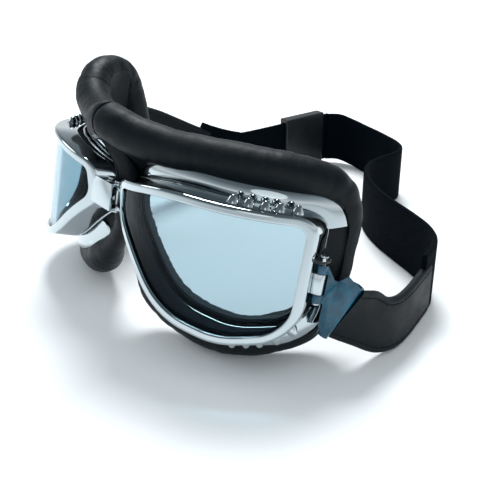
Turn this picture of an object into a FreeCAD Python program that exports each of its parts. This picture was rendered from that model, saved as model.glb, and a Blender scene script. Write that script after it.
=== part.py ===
import FreeCAD, Part
import math
import os
from FreeCAD import Placement, Rotation, Vector

# Motorcycle goggles that stand on a floor: two chromed cups joined by a nose hinge,
# a rolled leather cushion behind each cup, and a strap of leather and elastic.
# X runs across the face towards the wearer's left, -Y is the way the lenses look, +Z is up.
# A cup is drawn in its own frame: x towards the temple, y back into the cup, z up.

SIZES = [
    ("nose_edge_x", 19.62), ("nose_edge_y", -7.14), ("floor_gap", 0.2),
    ("wrap_angle", 26.8), ("lean_angle", 11.1), ("cup_roll", 8.5),
    ("front_curve", 47.5), ("opening_width", 63.6), ("opening_height", 41.0),
    ("rim_width", 2.9), ("rim_plate", 1.2), ("shell_wall", 0.9), ("shell_depth", 10.0),
    ("scoop_base", 1.9), ("scoop_height", 2.0), ("scoop_hole", 0.8), ("scoop_count", 5.0),
    ("scoop_pitch", 4.3), ("scoop_first", 11.2), ("scoop_depth", 6.2),
    ("lens_thickness", 2.0), ("lens_overlap", 1.1), ("seat_clearance", 0.1),
    ("gasket_thickness", 1.4), ("gasket_inset", 0.7),
    ("carrier_wall", 1.2), ("carrier_depth", 12.4),
    ("wire_size", 0.8), ("slot_height", 2.2),
    ("flange_width", 4.6), ("flange_thickness", 1.1),
    ("lining_thickness", 1.6), ("lining_depth", 9.0),
    ("cushion_inset", 1.6), ("cushion_depth", 18.2),
    ("cushion_gap", 0.35),
    ("pin_radius", 0.8), ("pin_running", 0.05), ("knuckle_radius", 1.6), ("knuckle_gap", 0.3),
    ("pin_head_radius", 1.3), ("pin_head_height", 0.7),
    ("bridge_height", 9.5), ("bridge_left_end", 3.4), ("bridge_right_end", -9.6),
    ("bridge_depth", 5.6), ("bridge_gauge", 0.8), ("bridge_front_y", 5.6), ("bridge_rise", 9.2),
    ("nose_pin_x", 2.2), ("nose_pin_y", 3.4), ("ear_thickness", 1.2), ("ear_reach", 7.6),
    ("strap_pin_reach", 3.7), ("strap_pin_depth", 18.6), ("strap_pin_v", -5.0),
    ("strap_pin_slant", 9.0), ("lug_barrel_length", 6.6), ("leaf_knuckle_length", 2.6),
    ("pin_overhang", 2.4), ("keeper_radius", 1.75), ("keeper_wire", 0.3),
    ("plate_heading", 51.6), ("plate_gauge", 0.8), ("plate_length", 12.6),
    ("crimp_radius", 1.9), ("crimp_wall", 0.5), ("film_thickness", 0.12),
    ("leather_width", 20.0), ("leather_thickness", 3.2), ("elastic_width", 25.5),
    ("elastic_thickness", 1.9), ("band_seam_gap", 0.3),
    ("slider_length", 26.0), ("slider_wall", 1.7), ("slider_clearance", 0.3),
    ("slider_x", -76.0), ("slider_y", 164.0),
]

doc = FreeCAD.newDocument("goggles")
sheet = doc.addObject("Spreadsheet::Sheet", "sizes")
for row, (alias, value) in enumerate(SIZES, start=1):
    sheet.set(f"A{row}", alias.replace("_", " "))
    sheet.set(f"B{row}", str(value))
    sheet.setAlias(f"B{row}", alias)
doc.recompute()


def size(alias):
    return float(sheet.get(alias))


def add(kind, name, **bound):
    """A document object whose named properties are bound to the sheet; __ stands for a dot."""
    item = doc.addObject(kind, name)
    for path, expression in bound.items():
        item.setExpression(path.replace("__", "."), expression)
    return item


def cut(name, base, *tools):
    for number, tool in enumerate(tools, start=1):
        item = add("Part::Cut", name if number == len(tools) else f"{name}_cut{number}")
        item.Base, item.Tool = base, tool
        base = item
    return base


def fuse(name, shapes):
    item = add("Part::MultiFuse", name)
    item.Shapes = shapes
    return item


def common(name, base, tool):
    item = add("Part::Common", name)
    item.Base, item.Tool = base, tool
    return item


def feature(name, shape):
    item = add("Part::Feature", name)
    item.Shape = shape
    return item


def trimmed(name, shape, *tools):
    """The largest solid that is left of a shape once the pieces it seats on are taken away."""
    for tool in tools:
        shape = shape.cut(tool.Shape)
    return feature(name, max(shape.Solids, key=lambda solid: solid.Volume))


# ---------------------------------------------------------------- outlines

# Corners of the lens opening as shares of its half width and half height, with a rounding radius.
OPENING_CORNERS = [
    (-0.985, 0.965, 2.4), (-0.32, 1.03, 90.0), (1.035, 0.665, 4.2), (0.90, -0.97, 10.5),
    (0.27, -1.04, 30.0), (-0.42, -0.74, 34.0), (-1.045, 0.52, 8.0),
]


# Corners of the cushion's rolled edge, as shares of the opening's half sizes.
CUSHION_CORNERS = [
    (-1.36, 1.90, 9.0), (-0.30, 1.76, 90.0), (1.28, 1.38, 13.0), (1.15, -1.22, 17.0),
    (0.30, -1.63, 34.0), (-0.52, -1.43, 34.0), (-1.42, 0.30, 14.0),
]


def rounded_outline(corners):
    """Straight sides and tangent arcs through rounded corners, as sketch geometry."""
    points = [Vector(x, z, 0) for x, z, _ in corners]
    pieces, ends = [], []
    for index, (_, _, radius) in enumerate(corners):
        here = points[index]
        back = (points[index - 1] - here).normalize()
        ahead = (points[(index + 1) % len(points)] - here).normalize()
        half = back.getAngle(ahead) / 2
        reach = radius / math.tan(half)
        middle = here + (back + ahead).normalize() * (radius / math.sin(half) - radius)
        ends.append((here + back * reach, middle, here + ahead * reach))
    for index, (start, middle, stop) in enumerate(ends):
        pieces.append(Part.Arc(start, middle, stop))
        pieces.append(Part.LineSegment(stop, ends[(index + 1) % len(ends)][0]))
    return pieces


def outline_sketch(name, shares):
    half_width, half_height = size("opening_width") / 2, size("opening_height") / 2
    corners = [(x * half_width, z * half_height, r) for x, z, r in shares]
    sketch = doc.addObject("Sketcher::SketchObject", name)
    sketch.addGeometry(rounded_outline(corners), False)
    sketch.Placement = Placement(Vector(), Rotation(Vector(1, 0, 0), 90))
    return sketch


def surface_depth(x):
    """How far the lens's curve lies behind its own middle at x."""
    return size("front_curve") - math.sqrt(size("front_curve") ** 2 - x ** 2)


OPENING = outline_sketch("opening_outline", OPENING_CORNERS)
CUSHION_LINE = outline_sketch("cushion_outline", CUSHION_CORNERS)
doc.recompute()


def grown(name, expression):
    """The opening's outline moved outwards by an expression of the sheet's sizes."""
    item = add("Part::Offset2D", name, Value=expression)
    item.Source = OPENING
    return item


def prism(name, outline):
    item = add("Part::Extrusion", name, LengthFwd="sizes.front_curve")
    item.Base, item.DirMode, item.Dir, item.Solid = outline, "Custom", Vector(0, 1, 0), True
    return item


def curved_front(name, depth):
    """A cylinder whose front has the lens's curve and lies depth behind the rim's face."""
    item = add("Part::Cylinder", name, Radius="sizes.front_curve", Height="4 * sizes.opening_height",
               Placement__Base__y=f"sizes.front_curve + {depth}",
               Placement__Base__z="-2 * sizes.opening_height")
    return item


def layer(name, outline, front, back):
    """The outline's solid between two curved surfaces, front and back behind the rim's face."""
    whole = common(f"{name}_whole", prism(f"{name}_prism", outline), curved_front(f"{name}_near", front))
    return cut(name, whole, curved_front(f"{name}_far", back))


def ring(name, outer, inner, front, back):
    return cut(name, layer(f"{name}_layer", outer, front, back), prism(f"{name}_inside", inner))


WALL_OUT = grown("wall_outline", "sizes.rim_width")
WALL_IN = grown("wall_inside_outline", "sizes.rim_width - sizes.shell_wall")
LENS_LINE = grown("lens_outline", "sizes.lens_overlap")
CARRIER_OUT = grown("carrier_outline", "sizes.rim_width - sizes.shell_wall - sizes.seat_clearance")
CARRIER_IN = grown("carrier_inside_outline",
                   "sizes.rim_width - sizes.shell_wall - sizes.seat_clearance - sizes.carrier_wall")
FLANGE_LINE = grown("flange_outline", "sizes.rim_width + sizes.flange_width")
WIRE_IN = grown("wire_inside_outline",
                "sizes.rim_width - sizes.shell_wall - sizes.seat_clearance + 0.01")
WIRE_OUT = grown("wire_outline",
                 "sizes.rim_width - sizes.shell_wall - sizes.seat_clearance + sizes.wire_size")
CUSHION_IN = grown("cushion_inside_outline", "-sizes.cushion_inset")
LINING_OUT = grown("lining_outline", "-sizes.cushion_inset - sizes.seat_clearance")
LINING_IN = grown("lining_inside_outline", "-sizes.cushion_inset - sizes.lining_thickness")
GASKET_IN = grown("gasket_inside_outline", "-sizes.gasket_inset")
doc.recompute()

FLANGE_FRONT = "sizes.shell_depth + sizes.slot_height"
FLANGE_BACK = f"{FLANGE_FRONT} + sizes.flange_thickness"
CUSHION_FRONT = f"{FLANGE_BACK} + sizes.seat_clearance"
LENS_FRONT = "sizes.rim_plate + sizes.seat_clearance"
LENS_BACK = f"{LENS_FRONT} + sizes.lens_thickness"
GASKET_FRONT = f"{LENS_BACK} + sizes.seat_clearance"
GASKET_BACK = f"{GASKET_FRONT} + sizes.gasket_thickness"


def outline_point(outline, u, top):
    """A point of an outline above or below x = u, and the direction that leaves the outline there."""
    points = outline.Shape.discretize(Number=600)
    side = [index for index, point in enumerate(points) if (point.z > 0) == top]
    index = min(side, key=lambda number: abs(points[number].x - u))
    along = (points[(index + 1) % len(points)] - points[index - 1]).normalize()
    away = Vector(-along.z, 0, along.x)
    if away.dot(points[index]) < 0:
        away = away * -1
    return points[index], away


def box(name, low, high):
    shape = Part.makeBox(high[0] - low[0], high[1] - low[1], high[2] - low[2], Vector(*low))
    return feature(name, shape)


# ---------------------------------------------------------------- places

def cushion_edge_points():
    """Points of the cushion's back edge, which is what a cup stands on."""
    back = sum(size(name) for name in ("shell_depth", "slot_height", "flange_thickness", "seat_clearance",
                                       "cushion_depth"))
    return [point + Vector(0, back + surface_depth(point.x), 0)
            for point in CUSHION_LINE.Shape.discretize(Number=200)]


def cup_placement():
    """The cup leans and wraps about the nose edge of its lens opening, and stands on its cushion."""
    turn = Rotation(Vector(1, 0, 0), -size("lean_angle"))
    turn = turn * Rotation(Vector(0, 0, 1), size("wrap_angle"))
    turn = turn * Rotation(Vector(0, 1, 0), -size("cup_roll"))
    wrap, half = math.radians(size("wrap_angle")), size("opening_width") / 2
    lowest = min(turn.multVec(point).z for point in cushion_edge_points())
    centre = Vector(size("nose_edge_x") + half * math.cos(wrap),
                    size("nose_edge_y") + half * math.sin(wrap), size("floor_gap") - lowest)
    return Placement(centre, turn)


def nose_placement():
    centre = Vector(0, size("bridge_front_y"), CUP.Base.z + size("bridge_rise"))
    return Placement(centre, Rotation(Vector(1, 0, 0), -size("lean_angle")))


def hinge_placement():
    """The strap hinge's frame on the left cup: z along the pin, x along the plate."""
    cup = cup_placement()
    slant = math.radians(size("strap_pin_slant"))
    along = cup.Rotation.multVec(Vector(math.sin(slant), 0, math.cos(slant)))
    heading = math.radians(size("plate_heading"))
    ahead = Vector(math.cos(heading), math.sin(heading), 0)
    side = along.cross(ahead).normalize()
    ahead = side.cross(along)
    reach = size("opening_width") / 2 + size("strap_pin_reach")
    place = Vector(reach, size("strap_pin_depth"), size("strap_pin_v"))
    return Placement(cup.multVec(place), Rotation(ahead, side, along, "ZXY"))


def mirrored_hinge_placement():
    """The right plate is the same stamping turned over, so its droop points up."""
    left = hinge_placement()
    flip = Vector(-left.Base.x, left.Base.y, left.Base.z)
    ahead = left.Rotation.multVec(Vector(1, 0, 0))
    along = left.Rotation.multVec(Vector(0, 0, 1))
    ahead = Vector(-ahead.x, ahead.y, ahead.z)
    along = Vector(along.x, -along.y, -along.z)
    return Placement(flip, Rotation(ahead, along.cross(ahead), along, "ZXY"))


CUP = cup_placement()
NOSE = nose_placement()
HINGE = hinge_placement()
HINGE_RIGHT = mirrored_hinge_placement()
KNUCKLE_TOP = size("lug_barrel_length") / 2 + size("knuckle_gap") + size("leaf_knuckle_length")
LUG_TURN = size("wrap_angle") - size("plate_heading")

# ---------------------------------------------------------------- the cup's pieces

def scoops(top):
    """Pressed air scoops on the shell's wall, and the holes through them."""
    cones, holes = [], []
    for number in range(int(size("scoop_count"))):
        u = size("scoop_first") + number * size("scoop_pitch")
        point, away = outline_point(WALL_OUT, u, top)
        point = point + Vector(0, surface_depth(u) + size("scoop_depth"), 0)
        start = point - away * size("shell_wall") * 0.5
        cones.append(Part.makeCone(size("scoop_base"), size("scoop_base") * 0.45,
                                   size("scoop_height"), start, away))
        holes.append(Part.makeCylinder(size("scoop_hole"), size("scoop_height") * 4,
                                       start - away * size("scoop_height") * 1.5, away))
    word = "upper" if top else "lower"
    return (feature(f"{word}_scoop_cones", Part.makeCompound(cones)),
            feature(f"{word}_scoop_holes", Part.makeCompound(holes)))


def hinge_window():
    """The notch in the shell's and the flange's temple side that the strap hinge works in."""
    reach = size("lug_barrel_length") / 2 + size("leaf_knuckle_length") + 2 * size("knuckle_gap") + 1.2
    middle = size("strap_pin_v")
    front = size("strap_pin_depth") - size("knuckle_radius") - size("knuckle_gap")
    return box("hinge_window", (size("opening_width") / 2 - 3, front, middle - reach),
               (size("opening_width"), size("front_curve"), middle + reach))


def nasal_window():
    """The flange leaves the nose side free, and its upper strip ends short of the other cup's."""
    wide, tall, deep = size("opening_width"), size("opening_height"), size("front_curve")
    side = box("nasal_side", (-wide, 0, -0.12 * tall), (-0.22 * wide, deep, 0.54 * tall))
    return fuse("nasal_window", [side, box("nasal_end", (-wide, 0, -tall), (-0.55 * wide, deep, tall))])


def build_cup():
    """Every piece that a cup carries, in the cup's own frame."""
    blank = layer("shell_blank", WALL_OUT, "0", "sizes.shell_depth")
    cavity = layer("shell_cavity", WALL_IN, "sizes.rim_plate", "sizes.shell_depth + 5")
    upper_cones, upper_holes = scoops(True)
    lower_cones, lower_holes = scoops(False)
    pressed = fuse("shell_pressed", [blank, upper_cones, lower_cones])
    window = hinge_window()
    wire_front = "sizes.shell_depth + sizes.slot_height * 0.3"
    flange = cut("flange_strips", ring("flange_ring", FLANGE_LINE, CARRIER_IN, FLANGE_FRONT, FLANGE_BACK),
                 window, nasal_window())
    tall, deep = size("opening_height"), size("front_curve")
    above = box("upper_half", (-2 * tall, 0, 0), (2 * tall, deep, 2 * tall))
    below = box("lower_half", (-2 * tall, 0, -2 * tall), (2 * tall, deep, 0))
    return {
        "shell": cut("shell", pressed, cavity, prism("shell_opening", OPENING),
                     upper_holes, lower_holes, window),
        "lens": layer("lens", LENS_LINE, LENS_FRONT, LENS_BACK),
        "lens_gasket": ring("lens_gasket", LENS_LINE, GASKET_IN, GASKET_FRONT, GASKET_BACK),
        "carrier": ring("carrier", CARRIER_OUT, CARRIER_IN, f"{GASKET_BACK} + sizes.seat_clearance",
                        f"{FLANGE_FRONT} - sizes.seat_clearance"),
        "retaining_wire": cut("retaining_wire", ring("wire_ring", WIRE_OUT, WIRE_IN, wire_front,
                                                     f"{wire_front} + sizes.wire_size"), window),
        "brow_flange": common("brow_flange", flange, above),
        "lower_flange": common("lower_flange", flange, below),
        "lining": ring("lining", LINING_OUT, LINING_IN, CUSHION_FRONT,
                       f"{CUSHION_FRONT} + sizes.lining_depth"),
        "cushion": ring("cushion", CUSHION_LINE, CUSHION_IN, CUSHION_FRONT,
                        f"{CUSHION_FRONT} + sizes.cushion_depth"),
    }


# ---------------------------------------------------------------- hinges

def rod(radius, low, high, x=0.0, y=0.0):
    return Part.makeCylinder(radius, high - low, Vector(x, y, low))


def block(low, high):
    return Part.makeBox(high[0] - low[0], high[1] - low[1], high[2] - low[2], Vector(*low))


def headed_pin(low, high, x=0.0, y=0.0):
    """A pin with a flat head on each end, outside low and high."""
    rise, wide = size("pin_head_height"), size("pin_head_radius")
    pin = rod(size("pin_radius"), low - rise / 2, high + rise / 2, x, y)
    return pin.fuse([rod(wide, high + 0.05, high + 0.05 + rise, x, y),
                     rod(wide, low - 0.05 - rise, low - 0.05, x, y)]).removeSplitter()


def bore(low, high, x=0.0, y=0.0):
    return rod(size("pin_radius") + size("pin_running"), low - 1, high + 1, x, y)


def bridge_plate():
    """A folded channel: its face in front, a flange above and below that hold the two pins."""
    gauge, half, deep = size("bridge_gauge"), size("bridge_height") / 2, size("bridge_depth")
    left, right = size("bridge_left_end"), size("bridge_right_end")
    pin_x, pin_y, round_end = size("nose_pin_x"), size("nose_pin_y"), size("knuckle_radius")
    face = block((right, 0, -half), (left, gauge, half))
    flanges = []
    for low, high in ((half - gauge, half), (-half, gauge - half)):
        flange = block((right, 0, low), (left, deep, high))
        flanges += [flange, rod(round_end, low, high, pin_x, pin_y)]
    plate = face.fuse(flanges).removeSplitter()
    return plate.cut(bore(-half, half, pin_x, pin_y)).cut(bore(-half, half, -pin_x, pin_y))


def nose_lug():
    """Two ears between the bridge's flanges on the left cup, joined by a foot behind."""
    gauge, round_end, thick = size("bridge_gauge"), size("knuckle_radius"), size("ear_thickness")
    pin_x, pin_y = size("nose_pin_x"), size("nose_pin_y")
    top = size("bridge_height") / 2 - gauge - size("knuckle_gap") / 3
    reach = pin_x + size("ear_reach")
    foot = block((pin_x + round_end + 0.5, pin_y + 0.5, -top), (reach, pin_y + round_end, top))
    ears = []
    for low, high in ((top - thick, top), (-top, thick - top)):
        ears.append(rod(round_end, low, high, pin_x, pin_y))
        ears.append(block((pin_x, pin_y - round_end, low), (reach, pin_y + round_end, high)))
    return foot.fuse(ears).removeSplitter().cut(bore(-top, top, pin_x, pin_y))


def strap_lug():
    """A barrel on a saddle; the saddle is trimmed to the carrier that it sits on."""
    half, wide = size("lug_barrel_length") / 2, size("knuckle_radius")
    saddle = block((-2 * wide, -wide, -half), (0.2 * wide, wide, half))
    saddle.rotate(Vector(), Vector(0, 0, 1), LUG_TURN)
    return rod(wide, -half, half).fuse(saddle).removeSplitter().cut(bore(-half, half))


def plate_outline():
    """Corners of the strap plate, x away from the pin and z along it; the last side is the crimp."""
    top = KNUCKLE_TOP
    inner = size("knuckle_radius") + 2 * size("knuckle_gap")
    gap = size("lug_barrel_length") / 2 + size("knuckle_gap")
    far = size("plate_length")
    drop = far * 1.4
    return [(0, top), (0.12 * far, top), (0.35 * far, 0.3 * top), (0.46 * far, 0.27 * top),
            (0.67 * far, 0.61 * top), (far, 0.1 * top), (0.35 * far, -drop), (0.18 * far, -0.8 * drop),
            (0.18 * far, -top), (0, -top), (0, -gap), (inner, -gap), (inner, gap), (0, gap)]


def flat_plate(front, back):
    points = [Vector(x, front, z) for x, z in plate_outline()]
    face = Part.Face(Part.makePolygon(points + points[:1]))
    return face.extrude(Vector(0, back - front, 0))


def crimp_line():
    corners = plate_outline()
    upper, lower = corners[5], corners[6]
    return Vector(upper[0], 0, upper[1]), Vector(lower[0], 0, lower[1])


def strap_plate():
    """The stamped plate with its two knuckles, and the rolled end that grips the leather."""
    gauge, wide = size("plate_gauge"), size("knuckle_radius")
    plate = flat_plate(-gauge / 2, gauge / 2)
    gap = size("lug_barrel_length") / 2 + size("knuckle_gap")
    knuckles = [rod(wide, gap, KNUCKLE_TOP), rod(wide, -KNUCKLE_TOP, -gap)]
    upper, lower = crimp_line()
    aside = Vector(0, gauge / 2 + size("crimp_radius") - size("crimp_wall"), 0)
    run = lower - upper
    tube = Part.makeCylinder(size("crimp_radius"), run.Length, upper + aside, run)
    hollow = Part.makeCylinder(size("crimp_radius") - size("crimp_wall"), run.Length + 2,
                               upper + aside - run.normalize(), run)
    return plate.fuse(knuckles + [tube]).cut(hollow).cut(bore(-KNUCKLE_TOP, KNUCKLE_TOP))


def keeper_rings():
    """Two loose wire rings round the strap pin, above the plate's upper knuckle."""
    loops = []
    for number, lean in enumerate((0.16, -0.22)):
        centre = Vector(0, 0, KNUCKLE_TOP + (0.35 + 0.3 * number) * size("pin_overhang"))
        loops.append(Part.makeTorus(size("keeper_radius"), size("keeper_wire"), centre,
                                    Vector(lean, 0.1, 1)))
    return Part.makeCompound(loops)


# ---------------------------------------------------------------- the strap

def band_section(station, width, thickness):
    """A rectangle across the strap: x, y, z of its centre, heading and climb in degrees."""
    x, y, z, heading, climb = station
    turn, rise = math.radians(heading), math.radians(climb)
    ahead = Vector(math.cos(turn), math.sin(turn), 0)
    across = Vector(-ahead.y, ahead.x, 0) * (thickness / 2)
    upward = (Vector(0, 0, math.cos(rise)) - ahead * math.sin(rise)) * (width / 2)
    centre = Vector(x, y, z)
    corners = [centre + across + upward, centre - across + upward,
               centre - across - upward, centre + across - upward]
    return Part.makePolygon(corners + corners[:1])


def band(stations, width, thickness):
    sections = [band_section(station, width, thickness) for station in stations]
    return Part.makeLoft(sections, True, True)


def plate_end(hinge):
    """The strap's first station, where it leaves a plate's crimp."""
    upper, lower = crimp_line()
    middle = (upper + lower) * 0.5 + Vector(0, size("plate_gauge") / 2 + size("crimp_radius")
                                           - size("crimp_wall"), 0)
    across = (upper - lower).normalize()
    ahead = Vector(across.z, 0, -across.x)
    start = hinge.multVec(middle + ahead * (size("crimp_radius") + 0.05))
    way = hinge.Rotation.multVec(ahead)
    climb = math.degrees(math.asin(way.z))
    return (start.x, start.y, start.z, math.degrees(math.atan2(way.y, way.x)), climb)


def from_plate(hinge, offsets):
    """Stations of a leather tab: the plate's end, then offsets from it in x and y, with real heights."""
    start = plate_end(hinge)
    return [start] + [(start[0] + x, start[1] + y, z, heading, climb) for x, y, z, heading, climb in offsets]


def butted(station, gap):
    """The station where the next length of the strap starts, a gap further along."""
    x, y, z, heading, climb = station
    turn, rise = math.radians(heading), math.radians(climb)
    return (x + gap * math.cos(turn) * math.cos(rise), y + gap * math.sin(turn) * math.cos(rise),
            z + gap * math.sin(rise), heading, climb)


def turned_back(station):
    x, y, z, heading, climb = station
    return (x, y, z, heading + 180, -climb)


def strap_pieces():
    half = size("elastic_width") / 2
    low = size("leather_width") / 2
    seam = size("band_seam_gap")
    lift = half + size("slider_wall") + size("slider_clearance")
    line, slide_y, reach = size("slider_x"), size("slider_y"), size("slider_length") / 2
    left_tab = from_plate(HINGE, [
        (1.2, 7.5, 16.6, 74, -28), (2.2, 14.5, low + 2.0, 85, -15), (1.9, 22.0, low + 0.2, 99, -3),
        (-0.2, 30.0, low, 109, 0), (-3.3, 38.0, low, 112, 0), (-6.2, 45.0, low, 112, 0),
        (-8.0, 49.5, low, 112, 0)])
    right_tab = from_plate(HINGE_RIGHT, [
        (-2.9, 6.8, 40.4, 112, 4), (-6.5, 16.8, 39.2, 102, -15), (-8.1, 26.8, 35.2, 94, -25),
        (-8.3, 36.8, 29.8, 89, -29), (-7.5, 46.8, 24.3, 85, -28), (-6.5, 54.3, 20.6, 82, -26)])
    left_seam = left_tab[-1][:2] + (half, 112, 0)
    rear_seam = (-31.0, 182.3, half, 165, 0)
    left_elastic = [butted(left_seam, seam), (65.9, 101.8, half, 121, 0), (60.6, 107.8, half, 139, 0),
                    (53.0, 112.7, half, 154, 0), (43.0, 116.4, half, 162, 0), (32.0, 119.6, half, 163, 0),
                    (21.0, 123.1, half, 160, 0), (10.0, 128.0, half, 151, 0), (1.0, 133.8, half, 143, 0),
                    (-5.8, 140.2, half, 128, 0), (-10.3, 148.0, half, 108, 0), (-12.0, 156.5, half, 93, 0),
                    (-12.4, 164.5, half, 93, 0), (-14.2, 171.8, half, 113, 0), (-19.0, 177.2, half, 144, 0),
                    (-26.0, 180.8, half, 161, 0), rear_seam]
    rear_elastic = [butted(rear_seam, seam), (-41.0, 184.9, half, 167, 0),
                    (-52.0, 187.2, half, 170, 0), (-62.0, 188.2, half + 0.6, 182, 0),
                    (-70.0, 186.2, lift, 212, 0), (line + 1.2, slide_y + reach + 4.5, lift, 245, 0),
                    (line, slide_y + reach, lift, 270, 0), (line, slide_y - reach - 22, lift, 270, 0),
                    (line - 1.2, slide_y - reach - 31, lift + 0.8, 262, 8),
                    (line - 4.2, slide_y - reach - 39.5, lift + 3.2, 257, 20),
                    turned_back(butted(right_tab[-1], seam))]
    wide, thick = size("elastic_width"), size("elastic_thickness")
    return {
        "left_strap_leather": band(left_tab, size("leather_width"), size("leather_thickness")),
        "right_strap_leather": band(right_tab, size("leather_width"), size("leather_thickness")),
        "left_elastic": band(left_elastic, wide, thick),
        "rear_elastic": band(rear_elastic, wide, thick),
        "strap_slider": slider(line, slide_y, lift),
    }


def slider(x, y, z):
    """A moulded frame round the elastic, with two windows in its outer wall."""
    wall, room = size("slider_wall"), size("slider_clearance")
    reach, inner_y = size("slider_length") / 2, size("elastic_thickness") / 2 + room
    inner_z = size("elastic_width") / 2 + room
    body = block((x - inner_y - wall, y - reach, z - inner_z - wall),
                 (x + inner_y + wall, y + reach, z + inner_z + wall))
    body = body.makeFillet(wall * 0.45, body.Edges)
    body = body.cut(block((x - inner_y, y - reach - 1, z - inner_z),
                          (x + inner_y, y + reach + 1, z + inner_z)))
    for low, high in ((-reach + 3, -2), (2, reach - 3)):
        body = body.cut(block((x - inner_y - wall - 1, y + low, z - inner_z + 2),
                              (x, y + high, z + inner_z - 2)))
    return body


# ---------------------------------------------------------------- assembly

def mirrored(name, source):
    item = add("Part::Mirroring", name)
    item.Source, item.Base, item.Normal = source, Vector(), Vector(1, 0, 0)
    return item


def place(item, placement):
    item.Placement = placement
    return item


PIECES = {}


def assemble():
    cup = build_cup()
    for name, item in cup.items():
        place(item, CUP)
    doc.recompute()
    beyond = 3 * size("opening_width")
    middle = box("other_side", (-beyond, -beyond, -beyond), (size("cushion_gap"), beyond, beyond))
    cup["cushion"] = cut("cushion_half", cup["cushion"], middle)
    cup["strap_lug"] = trimmed("strap_lug", strap_lug().transformed(HINGE.Matrix), cup["carrier"])
    strap_pin = headed_pin(-KNUCKLE_TOP, KNUCKLE_TOP + size("pin_overhang"))
    cup["strap_pin"] = feature("strap_pin", strap_pin.transformed(HINGE.Matrix))
    doc.recompute()
    for name, item in cup.items():
        PIECES[f"left_{name}"] = item
        PIECES[f"right_{name}"] = mirrored(f"right_{name}", item)
    envelope = place(layer("shell_envelope", WALL_OUT, "0", "sizes.shell_depth"), CUP)
    right_envelope = mirrored("right_shell_envelope", envelope)
    half = size("bridge_height") / 2
    doc.recompute()
    bridge = bridge_plate().transformed(NOSE.Matrix)
    PIECES["bridge_plate"] = trimmed("bridge_plate", bridge, right_envelope)
    lug = trimmed("left_nose_lug", nose_lug().transformed(NOSE.Matrix), envelope)
    pin = feature("nose_pin", headed_pin(-half, half, size("nose_pin_x"),
                                         size("nose_pin_y")).transformed(NOSE.Matrix))
    doc.recompute()
    PIECES["left_nose_lug"] = lug
    PIECES["right_nose_lug"] = mirrored("right_nose_lug", lug)
    PIECES["nose_pin"] = pin
    PIECES["bridge_fixing_pin"] = mirrored("bridge_fixing_pin", pin)
    gauge = size("plate_gauge") / 2
    for side, hinge in (("left", HINGE), ("right", HINGE_RIGHT)):
        film = flat_plate(-gauge - size("film_thickness"), -gauge)
        film = film.cut(rod(size("knuckle_radius"), -2 * KNUCKLE_TOP, 2 * KNUCKLE_TOP))
        for name, shape in (("strap_plate", strap_plate()), ("plate_film", film)):
            PIECES[f"{side}_{name}"] = feature(f"{side}_{name}", shape.transformed(hinge.Matrix))
    rings = feature("left_keeper_rings", keeper_rings().transformed(HINGE.Matrix))
    PIECES["left_keeper_rings"] = rings
    PIECES["right_keeper_rings"] = mirrored("right_keeper_rings", rings)
    for name, shape in strap_pieces().items():
        PIECES[name] = feature(name, shape)
    doc.recompute()


assemble()


# ---------------------------------------------------------------- checks and files

def checked():
    for item in doc.Objects:
        bad = [state for state in item.State if state in ("Invalid", "Error")]
        if bad:
            raise RuntimeError(f"{item.Name} is {bad}")
    for name, item in PIECES.items():
        if item.Shape.isNull() or not item.Shape.isValid() or not item.Shape.Solids:
            raise RuntimeError(f"{name} has no valid solid")


def write_parts():
    """Every piece moved so that the origin is the middle of the footprint, on the floor."""
    whole = FreeCAD.BoundBox()
    for item in PIECES.values():
        whole.add(item.Shape.optimalBoundingBox(False, False))
    shift = Vector(-whole.Center.x, -whole.Center.y, -whole.ZMin)
    os.makedirs("parts", exist_ok=True)
    for name, item in PIECES.items():
        item.Label = name
        shape = item.Shape.copy()
        shape.translate(shift)
        shape.exportStep(f"parts/{name}.step")
    return shift


checked()
SHIFT = write_parts()
print("pieces", len(PIECES), "shift", SHIFT)
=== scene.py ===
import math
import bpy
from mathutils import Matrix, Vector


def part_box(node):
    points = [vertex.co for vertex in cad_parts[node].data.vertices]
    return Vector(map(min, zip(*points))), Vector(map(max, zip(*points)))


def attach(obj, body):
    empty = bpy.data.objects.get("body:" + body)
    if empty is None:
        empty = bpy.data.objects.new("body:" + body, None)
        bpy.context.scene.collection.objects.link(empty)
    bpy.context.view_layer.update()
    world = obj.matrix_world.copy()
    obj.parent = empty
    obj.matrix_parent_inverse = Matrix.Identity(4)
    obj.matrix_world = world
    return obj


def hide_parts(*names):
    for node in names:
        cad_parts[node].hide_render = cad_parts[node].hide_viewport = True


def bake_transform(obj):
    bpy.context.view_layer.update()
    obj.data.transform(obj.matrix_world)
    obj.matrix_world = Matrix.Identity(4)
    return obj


bl_info = {
    "name": "Split-lens riding goggles",
    "version": (1, 0, 0),
    "blender": (4, 5, 0),
    "location": "3D Viewport > Sidebar > Goggles",
    "description": "Builds chromed cups, leather cushions and a strap on the frame of riding goggles",
    "category": "Add Mesh",
}

import bmesh
import bpy
import numpy as np
from mathutils import Matrix, Vector, noise

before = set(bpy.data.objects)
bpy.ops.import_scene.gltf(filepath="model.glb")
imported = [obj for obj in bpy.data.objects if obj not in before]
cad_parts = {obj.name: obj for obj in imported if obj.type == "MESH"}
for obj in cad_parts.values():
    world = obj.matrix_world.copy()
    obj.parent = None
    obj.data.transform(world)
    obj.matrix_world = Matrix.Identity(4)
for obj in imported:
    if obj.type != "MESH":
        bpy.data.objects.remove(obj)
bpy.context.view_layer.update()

MM = 0.001
SIDES = {"left": 1, "right": -1}

FILM_LIFT = 0.06 * MM
FILM_THICKNESS = 0.08 * MM
FILM_TURN = 0.12
ROLL_STEPS = 10
CREASE_SCALE = 120
PRESS_GAP = 0.12 * MM
PRESS_SOFTNESS = 0.5 * MM
FLOOR_GAP = 0.15 * MM
GROOVE_DEPTH = 0.35 * MM
BAND_FLOOR = 0.05 * MM

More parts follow.
